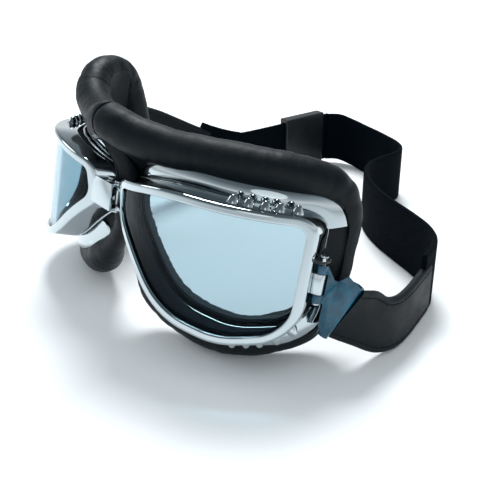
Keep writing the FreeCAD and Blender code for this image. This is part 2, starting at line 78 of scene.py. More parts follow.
# Corners of the lens opening as shares of its half width and half height, with a rounding radius in mm.
OPENING_CORNERS = [
    (-0.985, 0.965, 2.4), (-0.32, 1.03, 90.0), (1.035, 0.665, 4.2), (0.90, -0.97, 10.5),
    (0.27, -1.04, 30.0), (-0.42, -0.74, 34.0), (-1.045, 0.52, 8.0),
]

# Centre line of the leather roll in a cup's own frame, in mm: how far round the opening's corners, x, y, z.
# The nose end runs past the middle, where the two rolls are pressed flat against each other.
LEFT_ROLL = [
    (0.0, -42.0, 19.0, 40.5), (0.2, -35.6, 16.6, 39.2), (0.38, -28.6, 16.8, 36.3), (0.62, -18.5, 17.6, 33.6),
    (1.0, -9.0, 17.8, 32.0),
    (1.33, 4.0, 18.5, 30.5), (1.66, 17.0, 22.0, 28.5), (1.85, 27.0, 28.0, 26.0), (2.0, 34.0, 34.5, 22.0),
    (2.2, 36.0, 38.0, 14.0), (2.5, 34.5, 38.0, 4.0), (2.75, 33.0, 35.0, -8.0), (3.0, 28.0, 30.0, -21.5),
    (3.5, 18.0, 23.5, -26.0), (4.0, 8.0, 20.5, -27.8), (4.5, -4.5, 20.5, -26.8), (5.0, -18.5, 22.3, -21.6),
    (5.5, -30.2, 24.8, -10.4), (6.0, -36.8, 27.2, 4.5), (6.4, -36.8, 27.6, 18.0), (6.75, -38.8, 25.0, 30.0),
]
RIGHT_ROLL = [
    *LEFT_ROLL[:4], (1.0, -9.0, 17.0, 31.5), (1.33, 3.0, 15.0, 31.0), (1.60, 12.0, 13.6, 33.0),
    (1.78, 19.0, 14.7, 36.5), (1.94, 27.0, 19.0, 38.0), (2.08, 33.0, 25.0, 35.5), (2.3, 35.0, 29.5, 27.0),
    (2.5, 34.5, 33.5, 13.0), (2.75, 32.5, 33.0, -5.0), *LEFT_ROLL[12:],
]


# ------------------------------------------------------------ sizes and finishes

def length(name, description, default):
    return bpy.props.FloatProperty(name=name, description=description, default=default, unit="LENGTH",
                                   precision=5)


def angle(name, description, degrees):
    return bpy.props.FloatProperty(name=name, description=description, default=math.radians(degrees),
                                   subtype="ANGLE")


def share(name, description, default, top=1.0):
    return bpy.props.FloatProperty(name=name, description=description, default=default, min=0.0, max=top)


def colour(name, description, default):
    return bpy.props.FloatVectorProperty(name=name, description=description, default=default,
                                         subtype="COLOR", size=3, min=0.0, max=1.0)


class GogglesCup(bpy.types.PropertyGroup):
    wrap: angle("Wrap", "How far a cup turns round the face", 26.8)
    lean: angle("Lean", "How far a cup leans back", 11.1)
    roll: angle("Roll", "How far a cup's brow drops towards the temple", 8.5)
    front_curve: length("Front curve", "Radius of the lens's curve", 0.0475)
    opening_width: length("Opening width", "Width of the lens opening", 0.0636)
    opening_height: length("Opening height", "Height of the lens opening", 0.041)
    rim_width: length("Rim width", "Width of the chrome rim round the lens", 0.0029)
    rim_plate: length("Rim plate", "Depth of the rim in front of the lens", 0.0012)
    shell_wall: length("Shell wall", "Thickness of the shell's side wall", 0.0009)
    shell_depth: length("Shell depth", "Depth of the shell behind the rim's face", 0.010)
    seat_gap: length("Seat gap", "Clearance between stacked rings", 0.0001)
    lens_overlap: length("Lens overlap", "How far the lens reaches under the rim", 0.0011)
    lens_thickness: length("Lens thickness", "Thickness of the glass", 0.002)
    gasket_thickness: length("Gasket thickness", "Thickness of the rubber behind the lens", 0.0014)
    carrier_wall: length("Carrier wall", "Thickness of the inner carrier", 0.0012)
    slot_height: length("Slot height", "Gap between the shell and the flange", 0.0022)
    wire_size: length("Wire size", "Diameter of the retaining wire", 0.0008)
    flange_width: length("Flange width", "How far the flange stands out of the shell", 0.0046)
    flange_thickness: length("Flange thickness", "Thickness of the flange's sheet", 0.0011)
    window_reach: length("Window reach", "Half height of the notch at the strap hinge", 0.0082)
    window_front: length("Window front", "Where that notch starts, back from the cup's middle", 0.0167)
    window_height: length("Window height", "Height of the strap pin below the cup's middle", -0.005)


class GogglesScoops(bpy.types.PropertyGroup):
    count: bpy.props.IntProperty(name="Count", description="Air scoops above, and as many below",
                                 default=5, min=1)
    pitch: length("Pitch", "Distance from scoop to scoop", 0.0043)
    first: length("First", "Distance of the first scoop from the cup's middle", 0.0112)
    depth: length("Depth", "How far behind the rim's face the scoops stand", 0.0056)
    radius: length("Radius", "Radius of a scoop's foot", 0.0021)
    height: length("Height", "How far a scoop stands out", 0.0024)


class GogglesCushion(bpy.types.PropertyGroup):
    roll_radius: length("Roll radius", "Radius of the rolled edge", 0.0066)
    seat_inset: length("Seat inset", "How far the leather starts inside the flange's edge", 0.0006)
    inside: length("Inside", "How far the cushion reaches inside the lens opening", 0.0006)
    nose_share: share("Nose share", "Thickness of the roll beside the nose, as a share of the rest", 0.52)
    wrinkle: length("Wrinkle", "Height of the leather's wrinkles", 0.00028)
    lining_depth: length("Lining depth", "Depth of the felt lining", 0.0042)
    ragged: length("Ragged edge", "How uneven the lining's cut edge is", 0.0008)


class GogglesStrap(bpy.types.PropertyGroup):
    leather_width: length("Leather width", "Width of a leather tab", 0.020)
    leather_thickness: length("Leather thickness", "Thickness of a leather tab", 0.0032)
    elastic_width: length("Elastic width", "Width of the elastic", 0.0255)
    elastic_thickness: length("Elastic thickness", "Thickness of the elastic", 0.0019)
    stitch_inset: length("Stitch inset", "Distance of the stitch line from the leather's edge", 0.0022)
    stitch_pitch: length("Stitch pitch", "Distance from stitch to stitch", 0.0026)
    keeper_radius: length("Keeper radius", "Radius of the loose wire loops", 0.0026)
    keeper_wire: length("Keeper wire", "Radius of their wire", 0.00024)


class GogglesFinish(bpy.types.PropertyGroup):
    chrome: colour("Chrome", "Reflection colour of the plating", (0.53, 0.59, 0.615))
    glass: colour("Glass", "Tint of the lenses", (0.42, 0.55, 0.61))
    leather: colour("Leather", "Colour of the cushions and tabs", (0.0030, 0.0062, 0.0088))
    elastic: colour("Elastic", "Colour of the woven elastic", (0.0006, 0.0022, 0.0040))
    felt: colour("Felt", "Colour of the lining", (0.018, 0.028, 0.036))
    film: colour("Film", "Colour of the protective film", (0.0008, 0.036, 0.066))
    plastic: colour("Plastic", "Colour of the slider and the carriers", (0.004, 0.0055, 0.007))


class GogglesStage(bpy.types.PropertyGroup):
    azimuth: angle("Azimuth", "Camera's angle round the goggles", 51.556)
    elevation: angle("Elevation", "Camera's angle above the floor", 25.579)
    tilt: angle("Tilt", "Camera's roll", 0.279)
    distance: length("Distance", "Distance of the camera along its view", 0.290)
    aside: length("Aside", "Distance of the camera's axis from the nose, sideways", 0.053965)
    above: length("Above", "Distance of the camera's axis from the floor line, upwards", 0.024701)
    lens: bpy.props.FloatProperty(name="Lens", description="Focal length in mm", default=57.657)
    floor: colour("Floor", "Colour of the floor", (0.90, 0.915, 0.925))


GROUPS = {"cup": GogglesCup, "scoops": GogglesScoops, "cushion": GogglesCushion, "strap": GogglesStrap,
          "finish": GogglesFinish, "stage": GogglesStage}


def settings(group):
    return getattr(bpy.context.scene, f"goggles_{group}")


# ------------------------------------------------------------ outlines and cups

def rounded(corners, counts=None, spacing=0.8 * MM):
    """Sampled closed outline with rounded corners: points, outward normals, samples of each arc and side."""
    arcs = []
    for index, (x, z, radius) in enumerate(corners):
        here = np.array((x, z))
        back = np.array(corners[index - 1][:2]) - here
        ahead = np.array(corners[(index + 1) % len(corners)][:2]) - here
        back, ahead = back / np.linalg.norm(back), ahead / np.linalg.norm(ahead)
        half = math.acos(max(-1.0, min(1.0, float(back @ ahead)))) / 2
        bisector = (back + ahead) / np.linalg.norm(back + ahead)
        centre = here + bisector * radius / math.sin(half)
        reach = radius / math.tan(half)
        start, stop = here + back * reach, here + ahead * reach
        first = math.atan2(*(start - centre)[::-1])
        turn = (math.atan2(*(stop - centre)[::-1]) - first + math.pi) % (2 * math.pi) - math.pi
        arcs.append((centre, radius, first, turn, start, stop))
    if counts is None:
        sides = [np.linalg.norm(arcs[(i + 1) % len(arcs)][4] - arc[5]) for i, arc in enumerate(arcs)]
        counts = [(max(3, math.ceil(arc[1] * abs(arc[3]) / spacing)), max(1, math.ceil(side / spacing)))
                  for arc, side in zip(arcs, sides)]
    points, normals = [], []
    for index, (centre, radius, first, turn, start, stop) in enumerate(arcs):
        for step in range(counts[index][0] + 1):
            way = first + turn * step / counts[index][0]
            out = np.array((math.cos(way), math.sin(way)))
            points.append(centre + out * radius)
            normals.append(out)
        following = arcs[(index + 1) % len(arcs)][4]
        for step in range(1, counts[index][1]):
            points.append(stop + (following - stop) * step / counts[index][1])
            normals.append(normals[-1])
    return np.array(points), np.array(normals), counts


def section(corners, spacing=0.35 * MM):
    """Points of a closed cross-section, from corners of growth, depth and rounding radius in metres."""
    return rounded(corners, spacing=spacing)[0]


def scaled(corners, half_width, half_height):
    return [(x * half_width, z * half_height, radius * MM) for x, z, radius in corners]


def smooth(value):
    value = np.clip(value, 0.0, 1.0)
    return value * value * (3 - 2 * value)


class Cup:
    """The left cup's own frame: x towards the temple, y back into the cup, z up; the right cup mirrors it."""

    def __init__(self):
        self.sizes = sizes = settings("cup")
        half_width, half_height = sizes.opening_width / 2, sizes.opening_height / 2
        turn = (Matrix.Rotation(-sizes.lean, 3, "X") @ Matrix.Rotation(sizes.wrap, 3, "Z")
                @ Matrix.Rotation(-sizes.roll, 3, "Y"))
        self.turn = np.array(turn)
        opening = rounded(scaled(OPENING_CORNERS, half_width, half_height))
        self.outlines = {"opening": opening[:2]}
        self.counts = opening[2]
        low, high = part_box("left_lens")
        self.middle = (low.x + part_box("right_lens")[1].x) / 2
        front = sizes.rim_plate + sizes.seat_gap
        depths = (front, front + sizes.lens_thickness)
        lens = np.vstack([self.ring(sizes.lens_overlap, depth) for depth in depths]) @ self.turn.T
        self.centre = np.array((low + high) / 2) - (lens.min(axis=0) + lens.max(axis=0)) / 2

    def bent(self, x):
        """How far the lens's curve lies behind its own middle at x."""
        curve = self.sizes.front_curve
        return curve - np.sqrt(curve ** 2 - np.minimum(np.abs(x), 0.98 * curve) ** 2)

    def ring(self, growth, depth):
        """The outline grown outwards, on the curved surface at a depth behind the rim's face."""
        points, out = self.outlines["opening"]
        flat = points + out * np.reshape(growth, (-1, 1))
        return np.column_stack([flat[:, 0], depth + self.bent(flat[:, 0]), flat[:, 1]])

    def world(self, points, side=1):
        placed = np.asarray(points) @ self.turn.T + self.centre
        if side < 0:
            placed[:, 0] = 2 * self.middle - placed[:, 0]
        return placed


# ------------------------------------------------------------ meshes

def skin(name, rings, loop=True, tube=True):
    """A closed mesh through rings of points; loop closes each ring and tube joins the last to the first."""
    count, rows = len(rings[0]), len(rings)
    faces = []
    for row in range(rows if tube else rows - 1):
        here, there = row * count, ((row + 1) % rows) * count
        for step in range(count if loop else count - 1):
            following = (step + 1) % count
            faces.append((here + step, here + following, there + following, there + step))
    if not loop:
        faces.append([row * count for row in range(rows)])
        faces.append([row * count + count - 1 for row in reversed(range(rows))])
    if not tube:
        faces.append(list(reversed(range(count))))
        faces.append([(rows - 1) * count + step for step in range(count)])
    mesh = bpy.data.meshes.new(name)
    mesh.from_pydata(np.vstack(rings).tolist(), [], faces)
    outward(mesh)
    return mesh


def outward(mesh):
    build = bmesh.new()
    build.from_mesh(mesh)
    bmesh.ops.recalc_face_normals(build, faces=build.faces)
    build.to_mesh(mesh)
    build.free()


def piece(name, mesh, material, sharp=35.0):
    item = bpy.data.objects.new(name, mesh)
    bpy.context.scene.collection.objects.link(item)
    mesh.materials.clear()
    mesh.materials.append(material)
    mesh.shade_smooth()
    if sharp:
        mesh.set_sharp_from_angle(angle=math.radians(sharp))
    return item


def carried(item, body, slot, *nodes):
    """The piece rides on a body and stands for CAD nodes, which it hides; the slot is not used."""
    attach(item, body)
    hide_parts(*nodes)
    return item


def applied(item):
    """The object's mesh with its modifiers made final."""
    bpy.context.view_layer.update()
    mesh = bpy.data.meshes.new_from_object(item.evaluated_get(bpy.context.evaluated_depsgraph_get()))
    item.modifiers.clear()
    item.data = mesh
    return item


def softened(name, node, material, bevel=0.12 * MM):
    """A copy of a CAD node with its edges broken by a small bevel."""
    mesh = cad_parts[node].data.copy()
    build = bmesh.new()
    build.from_mesh(mesh)
    bmesh.ops.remove_doubles(build, verts=build.verts, dist=1e-6)
    bmesh.ops.dissolve_limit(build, angle_limit=math.radians(1.0), verts=build.verts, edges=build.edges)
    bmesh.ops.recalc_face_normals(build, faces=build.faces)
    build.to_mesh(mesh)
    build.free()
    item = piece(name, mesh, material, sharp=None)
    edge = item.modifiers.new("edges", "BEVEL")
    edge.width, edge.segments, edge.limit_method, edge.angle_limit = bevel, 2, "ANGLE", math.radians(35)
    edge.use_clamp_overlap = True
    applied(item)
    item.data.shade_smooth()
    item.data.set_sharp_from_angle(angle=math.radians(40))
    return item


# ------------------------------------------------------------ shader groups and materials

def new_group(name, inputs, outputs):
    group = bpy.data.node_groups.new(name, "ShaderNodeTree")
    for label, kind, default in inputs:
        socket = group.interface.new_socket(label, in_out="INPUT", socket_type=f"NodeSocket{kind}")
        if default is not None:
            socket.default_value = default
    for label, kind in outputs:
        group.interface.new_socket(label, in_out="OUTPUT", socket_type=f"NodeSocket{kind}")
    return group, group.nodes.new("NodeGroupInput"), group.nodes.new("NodeGroupOutput")


def node(tree, kind, **values):
    """A node whose plain attributes and unlinked inputs are set by name."""
    made = tree.nodes.new(f"ShaderNode{kind}")
    for label, value in values.items():
        if hasattr(made, label):
            setattr(made, label, value)
        else:
            made.inputs[label.replace("_", " ")].default_value = value
    return made


def maths(tree, operation, first, second=None):
    made = tree.nodes.new("ShaderNodeMath")
    made.operation = operation
    for socket, value in zip(made.inputs, (first, second)):
        if value is None:
            continue
        if isinstance(value, (int, float)):
            socket.default_value = value
        else:
            tree.links.new(value, socket)
    return made.outputs[0]


def mottle_group():
    """Soft uneven patches, from Low to High."""
    group, given, out = new_group("mottle", [("Vector", "Vector", None), ("Scale", "Float", 50.0),
                                             ("Low", "Float", 0.0), ("High", "Float", 1.0)],
                                  [("Value", "Float")])
    cloud = node(group, "TexNoise", Detail=5.0, Roughness=0.6)
    spread = node(group, "MapRange")
    spread.inputs["From Min"].default_value, spread.inputs["From Max"].default_value = 0.3, 0.7
    link = group.links.new
    link(given.outputs["Vector"], cloud.inputs["Vector"])
    link(given.outputs["Scale"], cloud.inputs["Scale"])
    link(cloud.outputs["Fac"], spread.inputs["Value"])
    link(given.outputs["Low"], spread.inputs["To Min"])
    link(given.outputs["High"], spread.inputs["To Max"])
    link(spread.outputs["Result"], out.inputs["Value"])
    return group


def grain_group():
    """Leather grain: small rounded cells with creases between them, and fine pores."""
    group, given, out = new_group("leather_grain", [("Vector", "Vector", None), ("Scale", "Float", 900.0),
                                                    ("Crease", "Float", 0.35)],
                                  [("Height", "Float"), ("Crease mask", "Float")])
    cells = node(group, "TexVoronoi", feature="SMOOTH_F1", Smoothness=0.35)
    edges = node(group, "TexVoronoi", feature="DISTANCE_TO_EDGE")
    pores = node(group, "TexNoise", Detail=3.0)
    link = group.links.new
    for texture in (cells, edges):
        link(given.outputs["Vector"], texture.inputs["Vector"])
        link(given.outputs["Scale"], texture.inputs["Scale"])
    link(given.outputs["Vector"], pores.inputs["Vector"])
    link(maths(group, "MULTIPLY", given.outputs["Scale"], 2.3), pores.inputs["Scale"])
    narrow = maths(group, "MULTIPLY", given.outputs["Crease"], 0.2)
    crease = maths(group, "LESS_THAN", edges.outputs["Distance"], narrow)
    domes = maths(group, "SUBTRACT", 1.0, cells.outputs["Distance"])
    height = maths(group, "ADD", maths(group, "MULTIPLY", domes, 0.7),
                   maths(group, "MULTIPLY", pores.outputs["Fac"], 0.3))
    link(maths(group, "SUBTRACT", height, maths(group, "MULTIPLY", crease, given.outputs["Crease"])),
         out.inputs["Height"])
    link(crease, out.inputs["Crease mask"])
    return group


def weave_group():
    """Woven ribs along and across a band, read from its own map, where u runs along it in metres."""
    group, given, out = new_group("weave", [("Vector", "Vector", None), ("Along", "Float", 1500.0),
                                            ("Across", "Float", 900.0)],
                                  [("Height", "Float"), ("Shade", "Float")])
    split = node(group, "SeparateXYZ")
    group.links.new(given.outputs["Vector"], split.inputs[0])
    turns = 2 * math.pi
    ribs = maths(group, "SINE", maths(group, "MULTIPLY", maths(group, "MULTIPLY", split.outputs["Y"],
                                                               given.outputs["Across"]), turns))
    picks = maths(group, "SINE", maths(group, "MULTIPLY", maths(group, "MULTIPLY", split.outputs["X"],
                                                                given.outputs["Along"]), turns))
    crossed = maths(group, "MULTIPLY", ribs, picks)
    height = maths(group, "ADD", maths(group, "ABSOLUTE", ribs), maths(group, "MULTIPLY", crossed, 0.45))
    group.links.new(height, out.inputs["Height"])
    # Shade is painted shade and highlight: darker in the weave's hollows, lighter on its crests.
    group.links.new(maths(group, "ADD", 0.75, maths(group, "MULTIPLY", height, 0.3)), out.inputs["Shade"])
    return group


def wear_group():
    """A mask of raised edges, where plating and leather are rubbed."""
    group, given, out = new_group("edge_wear", [("Start", "Float", 0.52), ("Width", "Float", 0.08)],
                                  [("Mask", "Float")])
    shape = node(group, "NewGeometry")
    raised = maths(group, "SUBTRACT", shape.outputs["Pointiness"], given.outputs["Start"])
    scaled_up = maths(group, "DIVIDE", raised, given.outputs["Width"])
    kept = maths(group, "MINIMUM", maths(group, "MAXIMUM", scaled_up, 0.0), 1.0)
    group.links.new(kept, out.inputs["Mask"])
    return group


class Shader:
    """A material with a Principled shader, and short ways to place groups and link them."""

    def __init__(self, name, colour, roughness, **values):
        self.material = bpy.data.materials.new(name)
        self.material.use_nodes = True
        self.tree = self.material.node_tree
        self.shader = self.tree.nodes["Principled BSDF"]
        self.shader.inputs["Base Color"].default_value = (*colour, 1.0)
        self.shader.inputs["Roughness"].default_value = roughness
        for label, value in values.items():
            self.shader.inputs[label.replace("_", " ")].default_value = value
        self.place = node(self.tree, "TexCoord")

    def group(self, made, **values):
        placed = self.tree.nodes.new("ShaderNodeGroup")
        placed.node_tree = bpy.data.node_groups[made]
        for label, value in values.items():
            placed.inputs[label.replace("_", " ")].default_value = value
        if "Vector" in placed.inputs:
            self.tree.links.new(self.place.outputs["Object"], placed.inputs["Vector"])
        return placed

    def to(self, output, label):
        self.tree.links.new(output, self.shader.inputs[label])
        return self

    def bump(self, height, strength, distance, under=None):
        made = node(self.tree, "Bump", Strength=strength, Distance=distance)
        self.tree.links.new(height, made.inputs["Height"])
        if under:
            self.tree.links.new(under.outputs["Normal"], made.inputs["Normal"])
        self.tree.links.new(made.outputs["Normal"], self.shader.inputs["Normal"])
        return made

    def tinted(self, mask, low, high):
        """Base colour that runs from low to high with a mask."""
        mix = node(self.tree, "Mix", data_type="RGBA")
        colours = [socket for socket in mix.inputs if socket.type == "RGBA"]
        colours[0].default_value, colours[1].default_value = (*low, 1.0), (*high, 1.0)
        self.tree.links.new(mask, mix.inputs["Factor"])
        result = [socket for socket in mix.outputs if socket.type == "RGBA"][0]
        self.tree.links.new(result, self.shader.inputs["Base Color"])
        return self


def lighter(colour, factor):
    return tuple(min(1.0, part * factor) for part in colour)


def chrome_material(name, roughness):
    """Plating with smears, a slight ripple of the pressed sheet and rubbed edges."""
    finish = settings("finish")
    made = Shader(name, finish.chrome, roughness, Metallic=1.0)
    smears = made.group("mottle", Scale=160.0, Low=roughness * 0.6, High=roughness * 1.7)
    made.to(smears.outputs["Value"], "Roughness")
    ripple = made.group("mottle", Scale=70.0)
    made.bump(ripple.outputs["Value"], 0.10, 0.00008)
    wear = made.group("edge_wear", Start=0.53, Width=0.10)
    made.tinted(wear.outputs["Mask"], finish.chrome, lighter(finish.chrome, 1.12))
    return made.material


def leather_material(name, scale=1100.0, depth=0.00007):
    """Grained leather with soft patches and rubbed edges."""
    finish = settings("finish")
    made = Shader(name, finish.leather, 0.50, Specular_IOR_Level=0.20)
    grain = made.group("leather_grain", Scale=scale, Crease=0.35)
    patches = made.group("mottle", Scale=85.0, Low=0.42, High=0.60)
    made.to(patches.outputs["Value"], "Roughness")
    wear = made.group("edge_wear", Start=0.50, Width=0.12)
    made.tinted(wear.outputs["Mask"], finish.leather, lighter(finish.leather, 1.9))
    fine = made.group("mottle", Scale=420.0)
    under = made.bump(fine.outputs["Value"], 0.25, 0.00012)
    made.bump(grain.outputs["Height"], 0.45, depth, under)
    return made.material


def woven_material(name, colour, along, across):
    """Woven cloth whose threads follow the band's own map, with painted shade in the weave's hollows and a
    painted highlight on its crests.
    """
    made = Shader(name, colour, 0.85, Specular_IOR_Level=0.05)
    weave = made.group("weave", Along=along, Across=across)
    made.tree.links.new(made.place.outputs["UV"], weave.inputs["Vector"])
    # Painted shade and highlight: the cloth's colour is darker in the weave's hollows and lighter on its
    # crests.
    made.tinted(weave.outputs["Shade"], lighter(colour, 0.6), lighter(colour, 1.5))
    made.bump(weave.outputs["Height"], 0.6, 0.00022)
    return made.material


def felt_material():
    finish = settings("finish")
    made = Shader("felt", finish.felt, 0.95, Sheen_Weight=0.35, Specular_IOR_Level=0.15)
    fibres = made.group("mottle", Scale=1400.0)
    made.tinted(fibres.outputs["Value"], lighter(finish.felt, 0.7), lighter(finish.felt, 1.5))
    made.bump(fibres.outputs["Value"], 0.7, 0.0003)
    return made.material


def plastic_material(name, colour, roughness, **values):
    made = Shader(name, colour, roughness, **values)
    cast = made.group("mottle", Scale=260.0, Low=roughness * 0.8, High=roughness * 1.2)
    made.to(cast.outputs["Value"], "Roughness")
    fine = made.group("leather_grain", Scale=2400.0, Crease=0.1)
    made.bump(fine.outputs["Height"], 0.2, 0.00004)
    wear = made.group("edge_wear", Start=0.54, Width=0.1)
    made.tinted(wear.outputs["Mask"], colour, lighter(colour, 2.2))
    return made.material


def film_material():
    """Thin glossy film with shallow folds, and painted highlight and shade: the fold noise runs its colour
    from a darker blue to a light cyan.
    """
    finish = settings("finish")
    made = Shader("film", finish.film, 0.12, Coat_Weight=0.35, Coat_Roughness=0.08)
    folds_and_painted_light = made.group("mottle", Scale=190.0)
    # Painted highlight and shade: the film's colour runs from darker to a bright cyan with the same noise
    # that bumps the folds.
    made.tinted(folds_and_painted_light.outputs["Value"], lighter(finish.film, 0.75), (0.002, 0.105, 0.18))
    made.bump(folds_and_painted_light.outputs["Value"], 0.35, 0.0004)
    return made.material


def glass_material():
    """Tinted glass that lets the light through, so that what stands behind it isn't in its shadow."""
    finish = settings("finish")
    made = Shader("lens_glass", finish.glass, 0.0, Transmission_Weight=1.0, IOR=1.12)
    made.shader.inputs["Specular IOR Level"].default_value = 0.5
    smears = made.group("mottle", Scale=60.0, Low=0.0, High=0.03)
    made.to(smears.outputs["Value"], "Roughness")
    path = node(made.tree, "LightPath")
    clear = node(made.tree, "BsdfTransparent")
    clear.inputs["Color"].default_value = (*lighter(finish.glass, 1.6), 1.0)
    mix = node(made.tree, "MixShader")
    link = made.tree.links.new
    link(path.outputs["Is Shadow Ray"], mix.inputs["Fac"])
    link(made.shader.outputs["BSDF"], mix.inputs[1])
    link(clear.outputs["BSDF"], mix.inputs[2])
    link(mix.outputs["Shader"], made.tree.nodes["Material Output"].inputs["Surface"])
    return made.material


MAKERS = {
    "chrome": lambda: chrome_material("chrome", 0.06),
    "chrome_small": lambda: chrome_material("chrome_small", 0.12),
    "wire": lambda: chrome_material("wire", 0.16),
    "keeper": lambda: plastic_material("keeper", (0.03, 0.032, 0.035), 0.3),
    "lens": glass_material,
    "gasket": lambda: plastic_material("gasket", (0.010, 0.018, 0.025), 0.85, Specular_IOR_Level=0.08),
    "carrier": lambda: plastic_material("carrier", (0.010, 0.018, 0.025), 0.85, Specular_IOR_Level=0.08),
    "lining": felt_material,
    "cushion_leather": lambda: leather_material("cushion_leather"),
    "strap_leather": lambda: leather_material("strap_leather", 1400.0, 0.00005),
    "thread": lambda: woven_material("thread", (0.012, 0.014, 0.017), 2600.0, 2600.0),
    "elastic": lambda: woven_material("elastic", settings("finish").elastic, 900.0, 620.0),
    "slider": lambda: plastic_material("slider", settings("finish").plastic, 0.4),
    "film": film_material,
}


def finish_of(slot):
    """The material of a slot, made when it is first asked for."""
    for group, maker in (("mottle", mottle_group), ("leather_grain", grain_group), ("weave", weave_group),
                         ("edge_wear", wear_group)):
        if group not in bpy.data.node_groups:
            maker()
    known = bpy.data.materials.get(f"finish_{slot}")
    if known is None:
        known = MAKERS[slot]()
        known.name = f"finish_{slot}"
    return known


# ------------------------------------------------------------ the cups

def notched(cup, points):
    """The wall's back edge is cut away round the strap hinge."""
    sizes = cup.sizes
    near = 1.0 - smooth((np.abs(points[:, 2] - sizes.window_height) - sizes.window_reach) / (1.2 * MM))
    near = np.where(points[:, 0] > sizes.opening_width / 2 - 3 * MM, near, 0.0)
    over = np.maximum(points[:, 1] - sizes.window_front, 0.0)
    points[:, 1] -= over * near
    return points


def cut_back(cup, ring):
    """The wall stops short under the brow, which leaves the wire in an open slot."""
    depth = ring[:, 1] - cup.bent(ring[:, 0])
    behind = smooth((depth - 0.5 * cup.sizes.shell_depth) / (0.4 * cup.sizes.shell_depth))
    nasal = smooth((ring[:, 2] - 9 * MM) / (4 * MM)) * smooth((12 * MM - ring[:, 0]) / (18 * MM))
    ring[:, 1] -= 1.6 * MM * behind * nasal
    return notched(cup, ring)


def ring_mesh(name, cup, side, corners, spacing=0.35 * MM, shaped=None):
    rings = [cup.ring(growth, depth) for growth, depth in section(corners, spacing)]
    if shaped:
        rings = [shaped(ring) for ring in rings]
    return skin(name, [cup.world(ring, side) for ring in rings])


def shell_corners(sizes):
    inner = sizes.rim_width - sizes.shell_wall
    return [(0.0, sizes.rim_plate, 0.1 * MM), (0.0, 0.0, 0.5 * MM), (sizes.rim_width, 0.0, 1.1 * MM),
            (sizes.rim_width, sizes.shell_depth, 0.25 * MM), (inner, sizes.shell_depth, 0.25 * MM),
            (inner, sizes.rim_plate, 0.25 * MM)]


def band_ring_corners(inner, outer, front, back, radius):
    return [(inner, front, radius), (outer, front, radius), (outer, back, radius), (inner, back, radius)]


def scoop_mesh(sizes):
    """One air scoop, turned about its axis: a flared foot, a blunt nose and a dark mouth."""
    radius, height = sizes.radius, sizes.height
    profile = [(1.0, -0.12), (0.93, 0.10), (0.74, 0.46), (0.52, 0.80), (0.36, 0.98), (0.24, 1.0),
               (0.17, 0.93), (0.14, 0.72), (0.0, 0.62)]
    sides = 20
    rings = []
    for wide, rise in profile[:-1]:
        ways = np.linspace(0, 2 * math.pi, sides, endpoint=False)
        rings.append(np.column_stack([np.cos(ways) * wide * radius, np.sin(ways) * wide * radius,
                                      np.full(sides, rise * height)]))
    return skin("scoop", rings, loop=True, tube=False)


def instance_tree(name, inputs, material):
    """A tree with named inputs that ends in Realize Instances and Set Material, and its working parts."""
    tree = bpy.data.node_groups.new(name, "GeometryNodeTree")
    for label, kind, default in inputs:
        socket = tree.interface.new_socket(label, in_out="INPUT", socket_type=f"NodeSocket{kind}")
        if default is not None:
            socket.default_value = default
    tree.interface.new_socket("Geometry", in_out="OUTPUT", socket_type="NodeSocketGeometry")
    make, link = tree.nodes.new, tree.links.new
    given, out = make("NodeGroupInput"), make("NodeGroupOutput")
    stand, turn = make("GeometryNodeInstanceOnPoints"), make("FunctionNodeAlignRotationToVector")
    turn.axis = "Z"
    real, finish = make("GeometryNodeRealizeInstances"), make("GeometryNodeSetMaterial")
    finish.inputs["Material"].default_value = material
    link(turn.outputs["Rotation"], stand.inputs["Rotation"])
    link(stand.outputs["Instances"], real.inputs["Geometry"])
    link(real.outputs["Geometry"], finish.inputs["Geometry"])
    link(finish.outputs["Geometry"], out.inputs["Geometry"])
    return tree, make, link, given, stand, turn


def input_ids(tree):
    return {item.name: item.identifier for item in tree.interface.items_tree if item.in_out == "INPUT"}


def scoop_tree(material):
    """Stands one scoop on each guide point, along the point's normal."""
    inputs = [("Guide", "Geometry", None), ("Scoop", "Object", None), ("Size", "Float", 1.0)]
    tree, make, link, given, stand, turn = instance_tree("scoops_on_points", inputs, material)
    scoop, away = make("GeometryNodeObjectInfo"), make("GeometryNodeInputNamedAttribute")
    away.data_type, away.inputs["Name"].default_value = "FLOAT_VECTOR", "away"
    link(given.outputs["Guide"], stand.inputs["Points"])
    link(given.outputs["Scoop"], scoop.inputs["Object"])
    link(scoop.outputs["Geometry"], stand.inputs["Instance"])
    link(away.outputs["Attribute"], turn.inputs["Vector"])
    link(given.outputs["Size"], stand.inputs["Scale"])
    return tree


def scoop_guides(cup, side, above):
    """Points on the shell's wall and the ways that leave it there."""
    sizes, outline = settings("scoops"), cup.outlines["opening"]
    grown = outline[0] + outline[1] * cup.sizes.rim_width
    places, ways = [], []
    for number in range(sizes.count):
        u = sizes.first + number * sizes.pitch
        there = [k for k in range(len(grown)) if (grown[k, 1] > 0) == above]
        k = min(there, key=lambda index: abs(grown[index, 0] - u))
        flat, out = grown[k], outline[1][k]
        places.append((flat[0], sizes.depth + float(cup.bent(flat[0])), flat[1]))
        ways.append((out[0], 0.0, out[1]))
    start = cup.world(np.array(places), side)
    end = cup.world(np.array(places) + np.array(ways), side)
    return start, end - start


